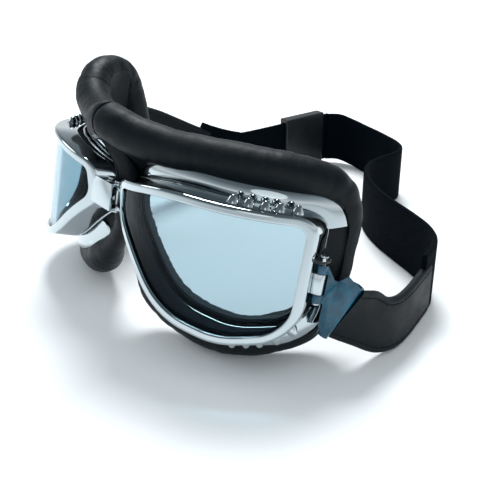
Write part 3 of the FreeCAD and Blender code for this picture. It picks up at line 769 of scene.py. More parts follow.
def build_shells():
    cup = Cup()
    chrome = finish_of("chrome")
    scoop = bpy.data.objects.new("scoop_pattern", scoop_mesh(settings("scoops")))
    scoop.data.shade_smooth()
    scoop.data.set_sharp_from_angle(angle=math.radians(50))
    tree = scoop_tree(chrome)
    for side, sign in SIDES.items():
        mesh = ring_mesh(f"{side}_chrome_shell", cup, sign, shell_corners(cup.sizes), 0.3 * MM,
                         lambda ring: cut_back(cup, ring))
        carried(piece(f"{side}_chrome_shell", mesh, chrome), f"{side}_cup", "chrome", f"{side}_shell")
        starts, ways = [np.vstack(part) for part in zip(scoop_guides(cup, sign, True),
                                                       scoop_guides(cup, sign, False))]
        guide = bpy.data.meshes.new(f"{side}_scoop_guide")
        guide.from_pydata(starts.tolist(), [], [])
        guide.attributes.new("away", "FLOAT_VECTOR", "POINT").data.foreach_set("vector", ways.ravel())
        item = bpy.data.objects.new(f"{side}_air_scoops", guide)
        bpy.context.scene.collection.objects.link(item)
        maker = item.modifiers.new("scoops", "NODES")
        maker.node_group = tree
        maker[input_ids(tree)["Scoop"]] = scoop
        applied(item)
        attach(item, f"{side}_cup")
    bpy.data.objects.remove(scoop)


def lens_mesh(name, cup, side):
    """A curved plate: rings that shrink to its middle in front, and back out again behind."""
    sizes = cup.sizes
    front = sizes.rim_plate + sizes.seat_gap
    base = cup.ring(sizes.lens_overlap, 0.0)
    rings = []
    shrink = np.linspace(0.02, 1.0, 12)
    for depth, shares in ((front, shrink), (front + sizes.lens_thickness, shrink[::-1])):
        for part in shares:
            ring = base.copy()
            ring[:, (0, 2)] *= part
            ring[:, 1] = depth + cup.bent(ring[:, 0])
            rings.append(cup.world(ring, side))
    return skin(name, rings, loop=True, tube=False)


def build_lenses():
    cup = Cup()
    for side, sign in SIDES.items():
        item = piece(f"{side}_glass_lens", lens_mesh(f"{side}_glass_lens", cup, sign), finish_of("lens"))
        carried(item, f"{side}_cup", "lens", f"{side}_lens")


def build_inner_rings():
    """Behind each lens: its gasket, the carrier, and the wire in the slot."""
    cup = Cup()
    sizes = cup.sizes
    gap = sizes.seat_gap
    gasket_front = sizes.rim_plate + 2 * gap + sizes.lens_thickness
    gasket_back = gasket_front + sizes.gasket_thickness
    carrier_out = sizes.rim_width - sizes.shell_wall - gap
    carrier_in = carrier_out - sizes.carrier_wall
    carrier_back = sizes.shell_depth + sizes.slot_height - gap
    wire_front = sizes.shell_depth + 0.3 * sizes.slot_height
    for side, sign in SIDES.items():
        rings = {
            "gasket": ("rubber_gasket", "lens_gasket",
                       band_ring_corners(-0.7 * MM, sizes.lens_overlap, gasket_front, gasket_back, 0.3 * MM)),
            "carrier": ("inner_carrier", "carrier",
                        band_ring_corners(carrier_in, carrier_out, gasket_back + gap, carrier_back,
                                          0.25 * MM)),
            "wire": ("spring_wire", "retaining_wire",
                     band_ring_corners(carrier_out + 0.02 * MM, carrier_out + sizes.wire_size, wire_front,
                                       wire_front + sizes.wire_size, 0.38 * MM)),
        }
        for slot, (word, cad, corners) in rings.items():
            spacing = 0.12 * MM if slot == "wire" else 0.35 * MM
            shaped = (lambda ring: kinked(cup, ring)) if slot == "wire" else None
            mesh = ring_mesh(f"{side}_{word}", cup, sign, corners, spacing, shaped)
            item = piece(f"{side}_{word}", mesh, finish_of(slot), sharp=None if slot == "wire" else 35.0)
            carried(item, f"{side}_cup", slot, f"{side}_{cad}")


# Each crimp of the wire: its place across the cup and its width.
WIRE_CRIMPS = ((-11 * MM, 0.9 * MM), (-1 * MM, 0.7 * MM))
WIRE_LIFT = 0.35 * MM


def kinked(cup, ring):
    """The sprung wire isn't quite even: small crimps lift it in the slot, and the hinge notch bends it in."""
    for place, width in WIRE_CRIMPS:
        ring[:, 1] += WIRE_LIFT * np.exp(-((ring[:, 0] - place) / width) ** 2)
    return notched(cup, ring)


def strip_mesh(name, cup, side, chosen, ends, sizes):
    """Part of the flange: chosen samples of the outline, with ends that are rounded or cut square."""
    inner = sizes.rim_width - sizes.shell_wall - sizes.seat_gap - sizes.carrier_wall
    outer = sizes.rim_width + sizes.flange_width
    front = sizes.shell_depth + sizes.slot_height
    middle, half = (inner + outer) / 2, (outer - inner) / 2
    points = cup.ring(outer, front)[chosen]
    run = np.concatenate([[0.0], np.cumsum(np.linalg.norm(np.diff(points, axis=0), axis=1))])
    left = {True: run, False: np.full(len(run), 1.0)}[ends[0]]
    right = {True: run[-1] - run, False: np.full(len(run), 1.0)}[ends[1]]
    close = np.clip(np.minimum(left, right) / half, 0.0, 1.0)
    narrow = np.maximum(np.sqrt(1 - (1 - close) ** 2), 0.12)
    rings = []
    edge = 0.45 * sizes.flange_thickness
    corners = band_ring_corners(-half, half, 0.0, sizes.flange_thickness, edge)
    for growth, depth in section(corners, 0.25 * MM):
        whole = np.zeros(len(cup.outlines["opening"][0]))
        whole[chosen] = middle + growth * narrow
        ring = cup.ring(whole, front + depth)[chosen]
        ring[:, 1] += 0.9 * MM * np.clip(growth / half, 0, 1) ** 2 * narrow
        rings.append(cup.world(ring, side))
    return skin(name, rings, loop=False)


def build_flanges():
    cup = Cup()
    sizes = cup.sizes
    outline = cup.ring(sizes.rim_width + sizes.flange_width, 0.0)
    count = len(outline)
    top = [k for k in range(count) if outline[k, 2] > 10.5 * MM and outline[k, 0] > -31.5 * MM]
    start = min(top, key=lambda k: outline[k, 0])
    brow = [(start + step) % count for step in range(count) if (start + step) % count in set(top)]
    below = [k for k in range(count) if (outline[k, 2] < -13.6 * MM)
             or (outline[k, 0] < -14 * MM and outline[k, 2] < -4.9 * MM)]
    first = max(below, key=lambda k: outline[k, 2] if outline[k, 0] > 0 else -1.0)
    low = [(first + step) % count for step in range(count) if (first + step) % count in set(below)]
    for side, sign in SIDES.items():
        for word, cad, chosen, ends in (("brow_flange_strip", "brow_flange", brow, (True, False)),
                                        ("lower_flange_strip", "lower_flange", low, (True, True))):
            mesh = strip_mesh(f"{side}_{word}", cup, sign, chosen, ends, sizes)
            item = piece(f"{side}_{word}", mesh, finish_of("chrome"))
            carried(item, f"{side}_cup", "chrome", f"{side}_{cad}")


# ------------------------------------------------------------ cushions and linings

def fractal(points, scale, octaves=3):
    """Fractal noise at points, one value each, from about -1 to 1."""
    return np.array([noise.fractal(Vector(point) * scale, 0.9, 2.0, octaves) for point in points])


def catmull(p0, p1, p2, p3, t):
    """A point between p1 and p2 on a Catmull-Rom curve."""
    return 0.5 * (2 * p1 + (p2 - p0) * t + (2 * p0 - 5 * p1 + 4 * p2 - p3) * t ** 2
                  + (3 * p1 - p0 - 3 * p2 + p3) * t ** 3)


def spline_rings(rings, steps):
    """More rings between rings, on a Catmull-Rom curve that closes on itself."""
    count, out = len(rings), []
    for index in range(count):
        near = [rings[(index + shift) % count] for shift in (-1, 0, 1, 2)]
        out += [catmull(*near, step / steps[index]) for step in range(steps[index])]
    return out


def roll_line(cup, stations):
    """The roll's centre for every sample of the outline, on a closed Catmull-Rom curve."""
    counts = cup.counts
    starts = np.concatenate([[0], np.cumsum([arc + side for arc, side in counts])])
    total = starts[-1]
    middles = np.array([start + arc / 2 for start, (arc, _) in zip(starts, counts)])
    knots = np.append(middles, middles[0] + total)
    data = np.array(stations)
    where = np.interp(data[:, 0], np.arange(len(knots)), knots)
    places = data[:, 1:] * MM
    where = np.concatenate([where[-2:] - total, where, where[:2] + total])
    places = np.vstack([places[-2:], places, places[:2]])
    line = []
    for sample in range(total):
        at = sample if sample >= middles[0] else sample + total
        k = int(np.clip(np.searchsorted(where, at, side="right") - 1, 1, len(where) - 3))
        t = (at - where[k]) / (where[k + 1] - where[k])
        before = (places[k + 1] - places[k - 1]) / (where[k + 1] - where[k - 1]) * (where[k + 1] - where[k])
        after = (places[k + 2] - places[k]) / (where[k + 2] - where[k]) * (where[k + 1] - where[k])
        line.append((2 * t ** 3 - 3 * t ** 2 + 1) * places[k] + (t ** 3 - 2 * t ** 2 + t) * before
                    + (3 * t ** 2 - 2 * t ** 3) * places[k + 1] + (t ** 3 - t ** 2) * after)
    return np.array(line)


def evened(values, spread=5):
    """Values round the outline, averaged with their neighbours."""
    weights = np.exp(-0.5 * (np.arange(-3 * spread, 3 * spread + 1) / spread) ** 2)
    shifted = [np.roll(values, step, axis=0) * weight
               for step, weight in zip(range(-3 * spread, 3 * spread + 1), weights)]
    return sum(shifted) / weights.sum()


def unit(vectors):
    return vectors / np.maximum(np.linalg.norm(vectors, axis=-1, keepdims=True), 1e-9)


def nose_side(cup):
    """How much of a sample lies on the stretch beside the nose, where the roll is squeezed thin."""
    points = cup.outlines["opening"][0]
    beside = (points[:, 0] < -22 * MM) & (points[:, 1] < 15 * MM)
    return evened(beside.astype(float), 6)


def touching(to_point, away, behind, radius, sign):
    """Angle at which a sheet from a point meets the roll; sign 1 is the outer sheet, -1 the inner one."""
    over, back = (to_point * away).sum(axis=1), (to_point * behind).sum(axis=1)
    bearing = np.arctan2(back, over)
    if sign > 0:
        bearing = np.where(bearing > math.radians(20), bearing - 2 * math.pi, bearing)
        low, high = math.radians(-165), math.radians(-45)
    else:
        bearing = np.where(bearing < math.radians(30), bearing + 2 * math.pi, bearing)
        low, high = math.radians(75), math.radians(190)
    near = np.clip(radius[:, 0] / np.maximum(np.hypot(over, back), 1e-6), 0.0, 0.97)
    return evened(np.clip(bearing + sign * np.arccos(near), low, high), 4)


def cushion_rings(cup, stations):
    """From the flange's edge out round the roll and back to the seat inside, as rings in the cup's frame."""
    sizes, cushion = cup.sizes, settings("cushion")
    seat = sizes.shell_depth + sizes.slot_height + sizes.flange_thickness + 2 * sizes.seat_gap
    line = roll_line(cup, stations)
    points, normal = cup.outlines["opening"]
    bare = evened(((points[:, 0] < -29 * MM) & (points[:, 1] > -5 * MM)).astype(float), 3)
    edge = sizes.rim_width + (sizes.flange_width - cushion.seat_inset) * (1 - bare) - 0.6 * MM * bare
    inner = cup.ring(-cushion.inside, seat)
    radius = cushion.roll_radius * (1 - (1 - cushion.nose_share) * nose_side(cup))[:, None]
    along = unit(np.roll(line, -2, axis=0) - np.roll(line, 2, axis=0))
    normal = evened(normal)
    away = np.column_stack([normal[:, 0], np.zeros(len(normal)), normal[:, 1]])
    away = unit(away - along * (away * along).sum(axis=1)[:, None])
    behind = unit(np.cross(along, away))
    behind *= np.sign(behind[:, 1].mean())
    throat = cup.ring(-cushion.inside, seat + 4.0 * MM)
    edge_ring = cup.ring(edge, seat + 0.3 * MM)
    start = touching(edge_ring - line, away, behind, radius, 1)
    stop = touching(throat - line, away, behind, radius, -1)
    roll = []
    for part in np.linspace(0, 1, ROLL_STEPS):
        turn = (start + (stop - start) * part)[:, None]
        roll.append(line + radius * (np.cos(turn) * away + np.sin(turn) * behind))
    rings = [edge_ring, *roll, throat, inner, cup.ring(edge - 2.0 * MM, seat)]
    steps = [6] + [4] * (len(roll) - 1) + [5, 3, 2, 2]
    return [cup.world(ring) for ring in spline_rings(rings, steps)]


def settled(points, middle):
    """The cushion is pressed flat where it meets the other one and where it stands on the floor."""
    soft = PRESS_SOFTNESS
    aside = points[:, 0] - middle - PRESS_GAP
    points[:, 0] = middle + PRESS_GAP + soft * np.logaddexp(0.0, aside / soft)
    points[:, 2] = FLOOR_GAP + soft * np.logaddexp(0.0, (points[:, 2] - FLOOR_GAP) / soft)
    return points


def wrinkled(rings, height):
    """Creases across the roll, deeper where it turns tightly, and a slow unevenness of the stuffing."""
    rows, count = len(rings), len(rings[0])
    grid = np.stack(rings)
    centre = grid[8:36].mean(axis=0)
    step = np.linalg.norm(np.roll(centre, -1, axis=0) - centre, axis=1)
    run = np.cumsum(step)
    tangent = np.roll(centre, -3, axis=0) - np.roll(centre, 3, axis=0)
    tangent /= np.linalg.norm(tangent, axis=1)[:, None]
    bend = np.linalg.norm(np.roll(tangent, -4, axis=0) - np.roll(tangent, 4, axis=0), axis=1)
    tight = 0.30 + np.clip(bend / 0.42, 0, 1.9)
    along = np.roll(grid, -1, axis=1) - np.roll(grid, 1, axis=1)
    across = np.roll(grid, -1, axis=0) - np.roll(grid, 1, axis=0)
    out = np.cross(along, across)
    out /= np.maximum(np.linalg.norm(out, axis=2)[:, :, None], 1e-9)
    away = (grid - centre[None])
    out *= np.sign((out[12] * away[12]).sum())
    total = run[-1]
    for row in range(rows):
        share_round = row / rows
        places = [Vector((math.cos(2 * math.pi * part / total) * total * CREASE_SCALE,
                          math.sin(2 * math.pi * part / total) * total * CREASE_SCALE, share_round * 2.4))
                  for part in run]
        creases = np.array([noise.fractal(place, 0.8, 2.1, 4) for place in places])
        slow = np.array([noise.noise(place * 0.16) for place in places])
        seated = smooth(min(share_round / 0.12, (1 - share_round) / 0.30))
        grid[row] += out[row] * (height * (-np.abs(creases) * 1.5 * tight + slow * 1.1) * seated)[:, None]
    return list(grid)


def build_cushions():
    cup = Cup()
    cushion = settings("cushion")
    for (side, sign), stations in zip(SIDES.items(), (LEFT_ROLL, RIGHT_ROLL)):
        rings = wrinkled(cushion_rings(cup, stations), cushion.wrinkle)
        points = settled(np.vstack(rings), cup.middle)
        if sign < 0:
            points[:, 0] = 2 * cup.middle - points[:, 0]
        rings = np.split(points, len(rings))
        name = f"{side}_rolled_cushion"
        item = piece(name, skin(name, rings), finish_of("cushion_leather"), sharp=60.0)
        fine = item.modifiers.new("fine", "SUBSURF")
        fine.levels = fine.render_levels = 1
        applied(item)
        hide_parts(f"{side}_cushion")
        if side == "left":
            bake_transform(item)
        else:
            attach(item, "right_cup")


def build_linings():
    """The felt behind each lens, with a cut edge that is torn in small steps."""
    cup = Cup()
    sizes, cushion = cup.sizes, settings("cushion")
    front = sizes.shell_depth + sizes.slot_height + sizes.flange_thickness + 2 * sizes.seat_gap
    inner, outer = -(cushion.inside + 1.1 * MM), -(cushion.inside + 0.1 * MM)
    for side, sign in SIDES.items():
        rings = []
        corners = band_ring_corners(inner, outer, front, front + cushion.lining_depth, 0.5 * MM)
        for growth, depth in section(corners, 0.5 * MM):
            ring = cup.ring(growth, depth)
            back = smooth((depth - front) / cushion.lining_depth * 2 - 1)
            teeth = fractal(ring, 1400.0) * cushion.ragged * back
            ring[:, 1] += teeth + 0.4 * cushion.ragged * fractal(ring, 320.0) * back
            rings.append(cup.world(ring, sign))
        name = f"{side}_felt_lining"
        item = piece(name, skin(name, rings), finish_of("lining"), sharp=60.0)
        carried(item, f"{side}_cup", "lining", f"{side}_lining")


# ------------------------------------------------------------ bridge and strap hinges

def build_bridge():
    for word, cad, body in (("bridge_channel", "bridge_plate", "right_cup"),
                            ("hinge_pin", "nose_pin", "right_cup"),
                            ("fixing_pin", "bridge_fixing_pin", "right_cup"),
                            ("left_hinge_ears", "left_nose_lug", "left_cup"),
                            ("right_hinge_ears", "right_nose_lug", "right_cup")):
        item = softened(word, cad, finish_of("chrome_small"))
        carried(item, body, "chrome_small", cad)


def keeper_mesh(name, pin_node, sizes, side):
    """Two loose loops of wire round the strap pin's head."""
    low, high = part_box(pin_node)
    top = Vector(((low.x + high.x) / 2, (low.y + high.y) / 2 + 0.4 * MM, high.z - 1.6 * MM))
    rings = []
    turns, steps, sides = 2.15, 90, 8
    for step in range(steps):
        way = 2 * math.pi * turns * step / (steps - 1)
        wide = sizes.keeper_radius * (1.0 + 0.16 * math.sin(way * 0.5 + 0.6))
        rise = 0.55 * MM * math.sin(way * 0.5) + 0.3 * MM * math.cos(way)
        spot = top + Vector((math.cos(way) * wide * side, math.sin(way) * wide * 0.8, rise))
        out = Vector((math.cos(way) * side, math.sin(way), 0)).normalized()
        rings.append(np.array([tuple(spot + (out * math.cos(a) + Vector((0, 0, 1)) * math.sin(a))
                                     * sizes.keeper_wire)
                               for a in np.linspace(0, 2 * math.pi, sides, endpoint=False)]))
    return skin(name, rings, loop=True, tube=False)


def film_mesh(name, plate, front):
    """The plate's outer faces lifted a little, as a thin film that wraps its front and its rolled end."""
    build = bmesh.new()
    build.from_mesh(plate)
    build.normal_update()
    gone = [face for face in build.faces if face.normal.dot(front) < FILM_TURN]
    bmesh.ops.delete(build, geom=gone, context="FACES")
    for vertex in build.verts:
        vertex.co += vertex.normal * FILM_LIFT
    mesh = bpy.data.meshes.new(name)
    build.to_mesh(mesh)
    build.free()
    return mesh


def film_way(side):
    """The film's outward direction: the mean of its forward faces, weighed by their areas."""
    way = Vector()
    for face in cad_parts[f"{side}_plate_film"].data.polygons:
        if face.normal.y < 0:
            way += face.normal * face.area
    return way.normalized()


def build_strap_hinges():
    strap = settings("strap")
    for side, sign in SIDES.items():
        for word, cad, body in (("strap_hinge_barrel", "strap_lug", "cup"),
                                ("strap_hinge_pin", "strap_pin", "cup"),
                                ("stamped_plate", "strap_plate", "strap")):
            item = softened(f"{side}_{word}", f"{side}_{cad}", finish_of("chrome_small"))
            carried(item, f"{side}_{body}", "chrome_small", f"{side}_{cad}")
        plate = bpy.data.objects[f"{side}_stamped_plate"]
        name = f"{side}_blue_film"
        film = piece(name, film_mesh(name, plate.data, film_way(side)), finish_of("film"))
        thick = film.modifiers.new("thick", "SOLIDIFY")
        thick.thickness, thick.offset = FILM_THICKNESS, 1.0
        applied(film)
        carried(film, f"{side}_strap", "film", f"{side}_plate_film")
        name = f"{side}_keeper_loops"
        wire = keeper_mesh(name, f"{side}_strap_pin", strap, sign)
        loops = piece(name, wire, finish_of("keeper"), sharp=None)
        carried(loops, f"{side}_strap", "wire", f"{side}_keeper_rings")


# ------------------------------------------------------------ the strap

def band_route(stations, spacing=1.0 * MM):
    """A smooth run through listed rows: x, y, z of the centre in mm, heading and climb in degrees."""
    data = np.array(stations, float)
    data[:, :3] *= MM
    data[:, 3:] = np.radians(data[:, 3:])
    padded = np.vstack([2 * data[0] - data[1], data, 2 * data[-1] - data[-2]])
    out = []
    for index in range(1, len(padded) - 2):
        near = padded[index - 1:index + 3]
        steps = max(2, math.ceil(np.linalg.norm(near[2, :3] - near[1, :3]) / spacing))
        out += [catmull(*near, step / steps) for step in range(steps)]
    out.append(data[-1])
    return np.array(out)


def band_axes(heading, climb):
    """Across and up directions of a band that heads and climbs by these angles."""
    ahead = np.array((math.cos(heading), math.sin(heading), 0.0))
    side = np.array((-ahead[1], ahead[0], 0.0))
    return side, np.array((0.0, 0.0, math.cos(climb))) - ahead * math.sin(climb)


def band_mesh(name, route, profile, floor=0.0):
    """A band through a route; the profile gives across (thickness) and up (width) offsets in metres."""
    rings = []
    for x, y, z, heading, climb in route:
        side, up = band_axes(heading, climb)
        ring = np.array((x, y, z)) + profile[:, :1] * side + profile[:, 1:] * up
        ring[:, 2] = np.maximum(ring[:, 2], floor)
        rings.append(ring)
    mesh = skin(name, rings, loop=True, tube=False)
    run = np.concatenate([[0.0], np.cumsum(np.linalg.norm(np.diff(route[:, :3], axis=0), axis=1))])
    chart = mesh.uv_layers.new(name="band")
    count = len(profile)
    for loop in mesh.loops:
        row, place = divmod(loop.vertex_index, count)
        chart.data[loop.index].uv = (run[row], profile[place, 1])
    return mesh


def band_profile(width, thickness, groove=0.0, inset=0.0):
    """Across and up offsets of a flat band with rounded edges and, if asked, stitch grooves near them."""
    half, thick = width / 2, thickness / 2
    corner = thick * 0.9
    face = [half - corner]
    if groove:
        face += [half - inset + 0.8 * MM, half - inset, half - inset - 0.8 * MM]
    face += list(np.linspace(half - inset - 3.0 * MM, -(half - inset - 3.0 * MM), 7))
    if groove:
        face += [-(half - inset - 0.8 * MM), -(half - inset), -(half - inset + 0.8 * MM)]
    face.append(-(half - corner))
    sunk = [groove if abs(abs(up) - (half - inset)) < 0.1 * MM else 0.0 for up in face]
    outside = [(thick - depth, up) for depth, up in zip(sunk, face)]
    ends = [math.radians(a) for a in (22, 45, 68)]
    bottom = [(math.cos(a) * thick, -(half - corner) - math.sin(a) * corner) for a in ends] + [(0.0, -half)]
    bottom += [(-math.cos(a) * thick, -(half - corner) - math.sin(a) * corner) for a in reversed(ends)]
    inside = [(-across, up) for across, up in reversed(outside)]
    top = [(-math.cos(a) * thick, half - corner + math.sin(a) * corner) for a in ends] + [(0.0, half)]
    top += [(math.cos(a) * thick, half - corner + math.sin(a) * corner) for a in reversed(ends)]
    return np.array(outside + bottom + inside + top)


def strap_shift():
    """Offset of the strap's listed places, from the slider that lies on them."""
    low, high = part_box("strap_slider")
    return np.array((*((low + high) / 2)[:2], 0.0)) / MM - np.array((-76.0, 164.0, 0.0))


def placed(stations):
    shift = strap_shift()
    return [(x + shift[0], y + shift[1], z, heading, climb) for x, y, z, heading, climb in stations]


LEFT_TAB = [
    (76.6, 46.5, 20.4, 47, -33), (77.8, 54.0, 16.6, 74, -28), (78.8, 61.0, 12.0, 85, -15),
    (78.5, 68.5, 10.2, 99, -3), (76.4, 76.5, 10.0, 109, 0), (73.3, 84.5, 10.0, 112, 0),
    (70.4, 91.5, 10.0, 112, 0), (68.6, 96.0, 10.0, 112, 0),
]
RIGHT_TAB = [
    (-76.7, 50.2, 38.7, 127, 15), (-79.6, 57.0, 40.4, 112, 4), (-83.2, 67.0, 39.2, 102, -15),
    (-84.8, 77.0, 35.2, 94, -25), (-85.0, 87.0, 29.8, 89, -29), (-84.2, 97.0, 24.3, 85, -28),
    (-83.2, 104.5, 20.6, 82, -26),
]
LEFT_ELASTIC = [
    (70.6, 91.0, 12.75, 112, 0), (68.5, 96.3, 12.75, 112, 0), (65.9, 101.8, 12.75, 121, 0),
    (60.6, 107.8, 12.75, 139, 0), (53.0, 112.7, 12.75, 154, 0), (43.0, 116.4, 12.75, 162, 0),
    (32.0, 119.6, 12.75, 163, 0), (21.0, 123.1, 12.75, 160, 0), (10.0, 128.0, 12.75, 151, 0),
    (1.0, 133.8, 12.75, 143, 0), (-5.8, 140.2, 12.75, 128, 0), (-10.3, 148.0, 12.75, 108, 0),
    (-12.0, 156.5, 12.75, 93, 0), (-12.4, 164.5, 12.75, 93, 0), (-14.2, 171.8, 12.75, 113, 0),
    (-19.0, 177.2, 12.75, 144, 0), (-26.0, 180.8, 12.75, 161, 0), (-31.0, 182.3, 12.75, 165, 0),
]
REAR_ELASTIC = [
    (-31.0, 182.3, 12.75, 165, 0), (-41.0, 184.9, 12.75, 167, 0), (-52.0, 187.2, 12.75, 170, 0),
    (-62.0, 188.2, 13.35, 182, 0), (-70.0, 186.2, 14.75, 212, 0), (-74.8, 181.5, 14.75, 245, 0),
    (-76.0, 177.0, 14.75, 270, 0), (-76.0, 129.0, 14.75, 270, 0), (-77.2, 120.0, 15.55, 262, 8),
    (-80.2, 111.5, 17.95, 257, 20), (-83.1, 104.8, 20.5, 262, 26), (-83.9, 99.2, 23.2, 265, 28),
]


def stitch_tree(material):
    """Lays short stitches along a guide line, at an even pitch."""
    inputs = [("Line", "Geometry", None), ("Pitch", "Float", 0.0026), ("Thread", "Float", 0.00026),
              ("Length", "Float", 0.0017)]
    tree, make, link, given, stand, turn = instance_tree("stitches_on_line", inputs, material)
    curve, points = make("GeometryNodeMeshToCurve"), make("GeometryNodeCurveToPoints")
    points.mode = "LENGTH"
    stitch = make("GeometryNodeMeshCylinder")
    stitch.inputs["Vertices"].default_value = 6
    stitch.inputs["Side Segments"].default_value = 1
    link(given.outputs["Line"], curve.inputs["Mesh"])
    link(curve.outputs["Curve"], points.inputs["Curve"])
    link(given.outputs["Pitch"], points.inputs["Length"])
    link(given.outputs["Thread"], stitch.inputs["Radius"])
    link(given.outputs["Length"], stitch.inputs["Depth"])
    link(points.outputs["Points"], stand.inputs["Points"])
    link(stitch.outputs["Mesh"], stand.inputs["Instance"])
    link(points.outputs["Tangent"], turn.inputs["Vector"])
    return tree


def stitched(name, route, offsets, tree, pitch):
    """Stitches along a band, at offsets across and up from its middle."""
    lines, edges = [], []
    for across, up_by in offsets:
        start = len(lines)
        for x, y, z, heading, climb in route[2:-2]:
            side, up = band_axes(heading, climb)
            lines.append(tuple(np.array((x, y, z)) + across * side + up_by * up))
        edges += [(k, k + 1) for k in range(start, len(lines) - 1)]
    guide = bpy.data.meshes.new(name)
    guide.from_pydata(lines, edges, [])
    item = bpy.data.objects.new(name, guide)
    bpy.context.scene.collection.objects.link(item)
    maker = item.modifiers.new("stitches", "NODES")
    maker.node_group = tree
    maker[input_ids(tree)["Pitch"]] = pitch
    return applied(item)


def hinged(item):
    """Leather whose place is baked into its mesh, on no body."""
    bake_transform(item)


def build_strap_leathers():
    strap = settings("strap")
    tree = stitch_tree(finish_of("thread"))
    profile = band_profile(strap.leather_width, strap.leather_thickness, GROOVE_DEPTH,
                           strap.stitch_inset)
    for side, stations in (("left", LEFT_TAB), ("right", RIGHT_TAB)):
        route = band_route(placed(stations))
        item = piece(f"{side}_leather_tab", band_mesh(f"{side}_leather_tab", route, profile, BAND_FLOOR),
                     finish_of("strap_leather"), sharp=50.0)
        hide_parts(f"{side}_strap_leather")
        hinged(item)
        up = strap.leather_width / 2 - strap.stitch_inset
        across = strap.leather_thickness / 2 - 0.28 * MM
        offsets = [(s * across, t * up) for s in (1, -1) for t in (1, -1)]
        thread = stitched(f"{side}_tab_stitches", route, offsets, tree, strap.stitch_pitch)
        hinged(thread)


def build_elastics():
    strap = settings("strap")
    profile = band_profile(strap.elastic_width, strap.elastic_thickness)
    for name, stations, cad in (("left_woven_elastic", LEFT_ELASTIC, "left_elastic"),
                                ("rear_woven_elastic", REAR_ELASTIC, "rear_elastic")):
        route = band_route(placed(stations))
        item = piece(name, band_mesh(name, route, profile, BAND_FLOOR), finish_of("elastic"), sharp=60.0)
        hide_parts(cad)
        if cad == "left_elastic":
            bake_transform(item)
        else:
            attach(item, "right_cup")


def build_slider():
    item = softened("moulded_slider", "strap_slider", finish_of("slider"), 0.2 * MM)
    carried(item, "slider", "slider", "strap_slider")


# ------------------------------------------------------------ stage

# Each lamp's place from the goggles' middle in metres, its width and its power in watts.
LAMPS = {
    "key": ((-0.40, 0.32, 0.85), 0.38, 9.5),
    "fill": ((0.85, -0.55, 0.45), 0.55, 0.6),
    "side": ((-0.80, -0.45, 0.60), 0.45, 1.2),
}
LAMP_COLOUR = (0.95, 0.98, 1.0)

# What polished faces reflect, from straight below, 0, to straight above, 1.
SKY_TONES = [
    (0.0, (0.60, 0.62, 0.64)), (0.49, (0.70, 0.73, 0.75)), (0.545, (0.95, 0.98, 1.0)),
    (0.64, (0.42, 0.46, 0.49)), (0.78, (0.16, 0.19, 0.21)), (1.0, (0.10, 0.12, 0.14)),
]
SKY_STRENGTH = 0.95
SOFT_LIGHT = (0.90, 0.965, 1.0, 1.0)
SOFT_STRENGTH = 0.74
FLOOR_REACH = 6.0

def build_stage():
    sizes, cup = settings("stage"), Cup()
    scene = bpy.context.scene
    scene.view_settings.view_transform = "Standard"
    origin = Vector((cup.middle, cup.centre[1] - 7.198 * MM, 0.0))
    around, above, tilt = sizes.azimuth, sizes.elevation, sizes.tilt
    back = Vector((math.sin(around) * math.cos(above), -math.cos(around) * math.cos(above), math.sin(above)))
    right = (-back).cross(Vector((0, 0, 1))).normalized()
    up = right.cross(-back)
    right, up = right * math.cos(tilt) + up * math.sin(tilt), up * math.cos(tilt) - right * math.sin(tilt)
    lens = bpy.data.cameras.new("camera")
    lens.sensor_width, lens.lens = 36.0, sizes.lens
    lens.clip_start, lens.clip_end = 0.01, 50.0
    camera = bpy.data.objects.new("camera", lens)
    scene.collection.objects.link(camera)
    camera.matrix_world = Matrix.Translation(origin + right * sizes.aside + up * sizes.above
                                             + back * sizes.distance) @ Matrix((
        (right.x, up.x, back.x), (right.y, up.y, back.y), (right.z, up.z, back.z))).to_4x4()
    scene.camera = camera
    floor = bpy.data.meshes.new("floor")
    corners = ((-1, -1), (1, -1), (1, 1), (-1, 1))
    floor.from_pydata([(x * FLOOR_REACH, y * FLOOR_REACH, 0) for x, y in corners], [], [(0, 1, 2, 3)])
    ground = piece("floor", floor, Shader("floor_paper", sizes.floor, 0.65).material, sharp=None)
    world = bpy.data.worlds.new("studio")
    world.use_nodes = True
    scene.world = world
    tree = world.node_tree
    place, split = node(tree, "TexCoord"), node(tree, "SeparateXYZ")
    ramp = node(tree, "ValToRGB")
    for index, (where, tone) in enumerate(SKY_TONES):
        stop = ramp.color_ramp.elements[index] if index < 2 else ramp.color_ramp.elements.new(where)
        stop.position, stop.color = where, (*tone, 1.0)
    spread = maths(tree, "ADD", maths(tree, "MULTIPLY", split.outputs["Z"], 0.5), 0.5)
    tree.links.new(place.outputs["Generated"], split.inputs[0])
    tree.links.new(spread, ramp.inputs["Fac"])
    soft, seen = tree.nodes["Background"], node(tree, "Background", Strength=SKY_STRENGTH)
    soft.inputs["Color"].default_value, soft.inputs["Strength"].default_value = SOFT_LIGHT, SOFT_STRENGTH
    tree.links.new(ramp.outputs["Color"], seen.inputs["Color"])
    path, mix = node(tree, "LightPath"), node(tree, "MixShader")
    tree.links.new(path.outputs["Is Glossy Ray"], mix.inputs["Fac"])
    tree.links.new(soft.outputs["Background"], mix.inputs[1])
    tree.links.new(seen.outputs["Background"], mix.inputs[2])
    tree.links.new(mix.outputs["Shader"], tree.nodes["World Output"].inputs["Surface"])
    target = Vector((cup.middle, cup.centre[1] + 50 * MM, 20 * MM))
    for name, (place_at, size, power) in LAMPS.items():
        lamp = bpy.data.lights.new(name, "AREA")
        lamp.shape, lamp.size, lamp.energy = "DISK", size, power
        lamp.color = LAMP_COLOUR
        light = bpy.data.objects.new(name, lamp)
        scene.collection.objects.link(light)
        light.location = target + Vector(place_at)
        light.rotation_euler = Vector(place_at).to_track_quat("Z", "Y").to_euler()


# ------------------------------------------------------------ add-on

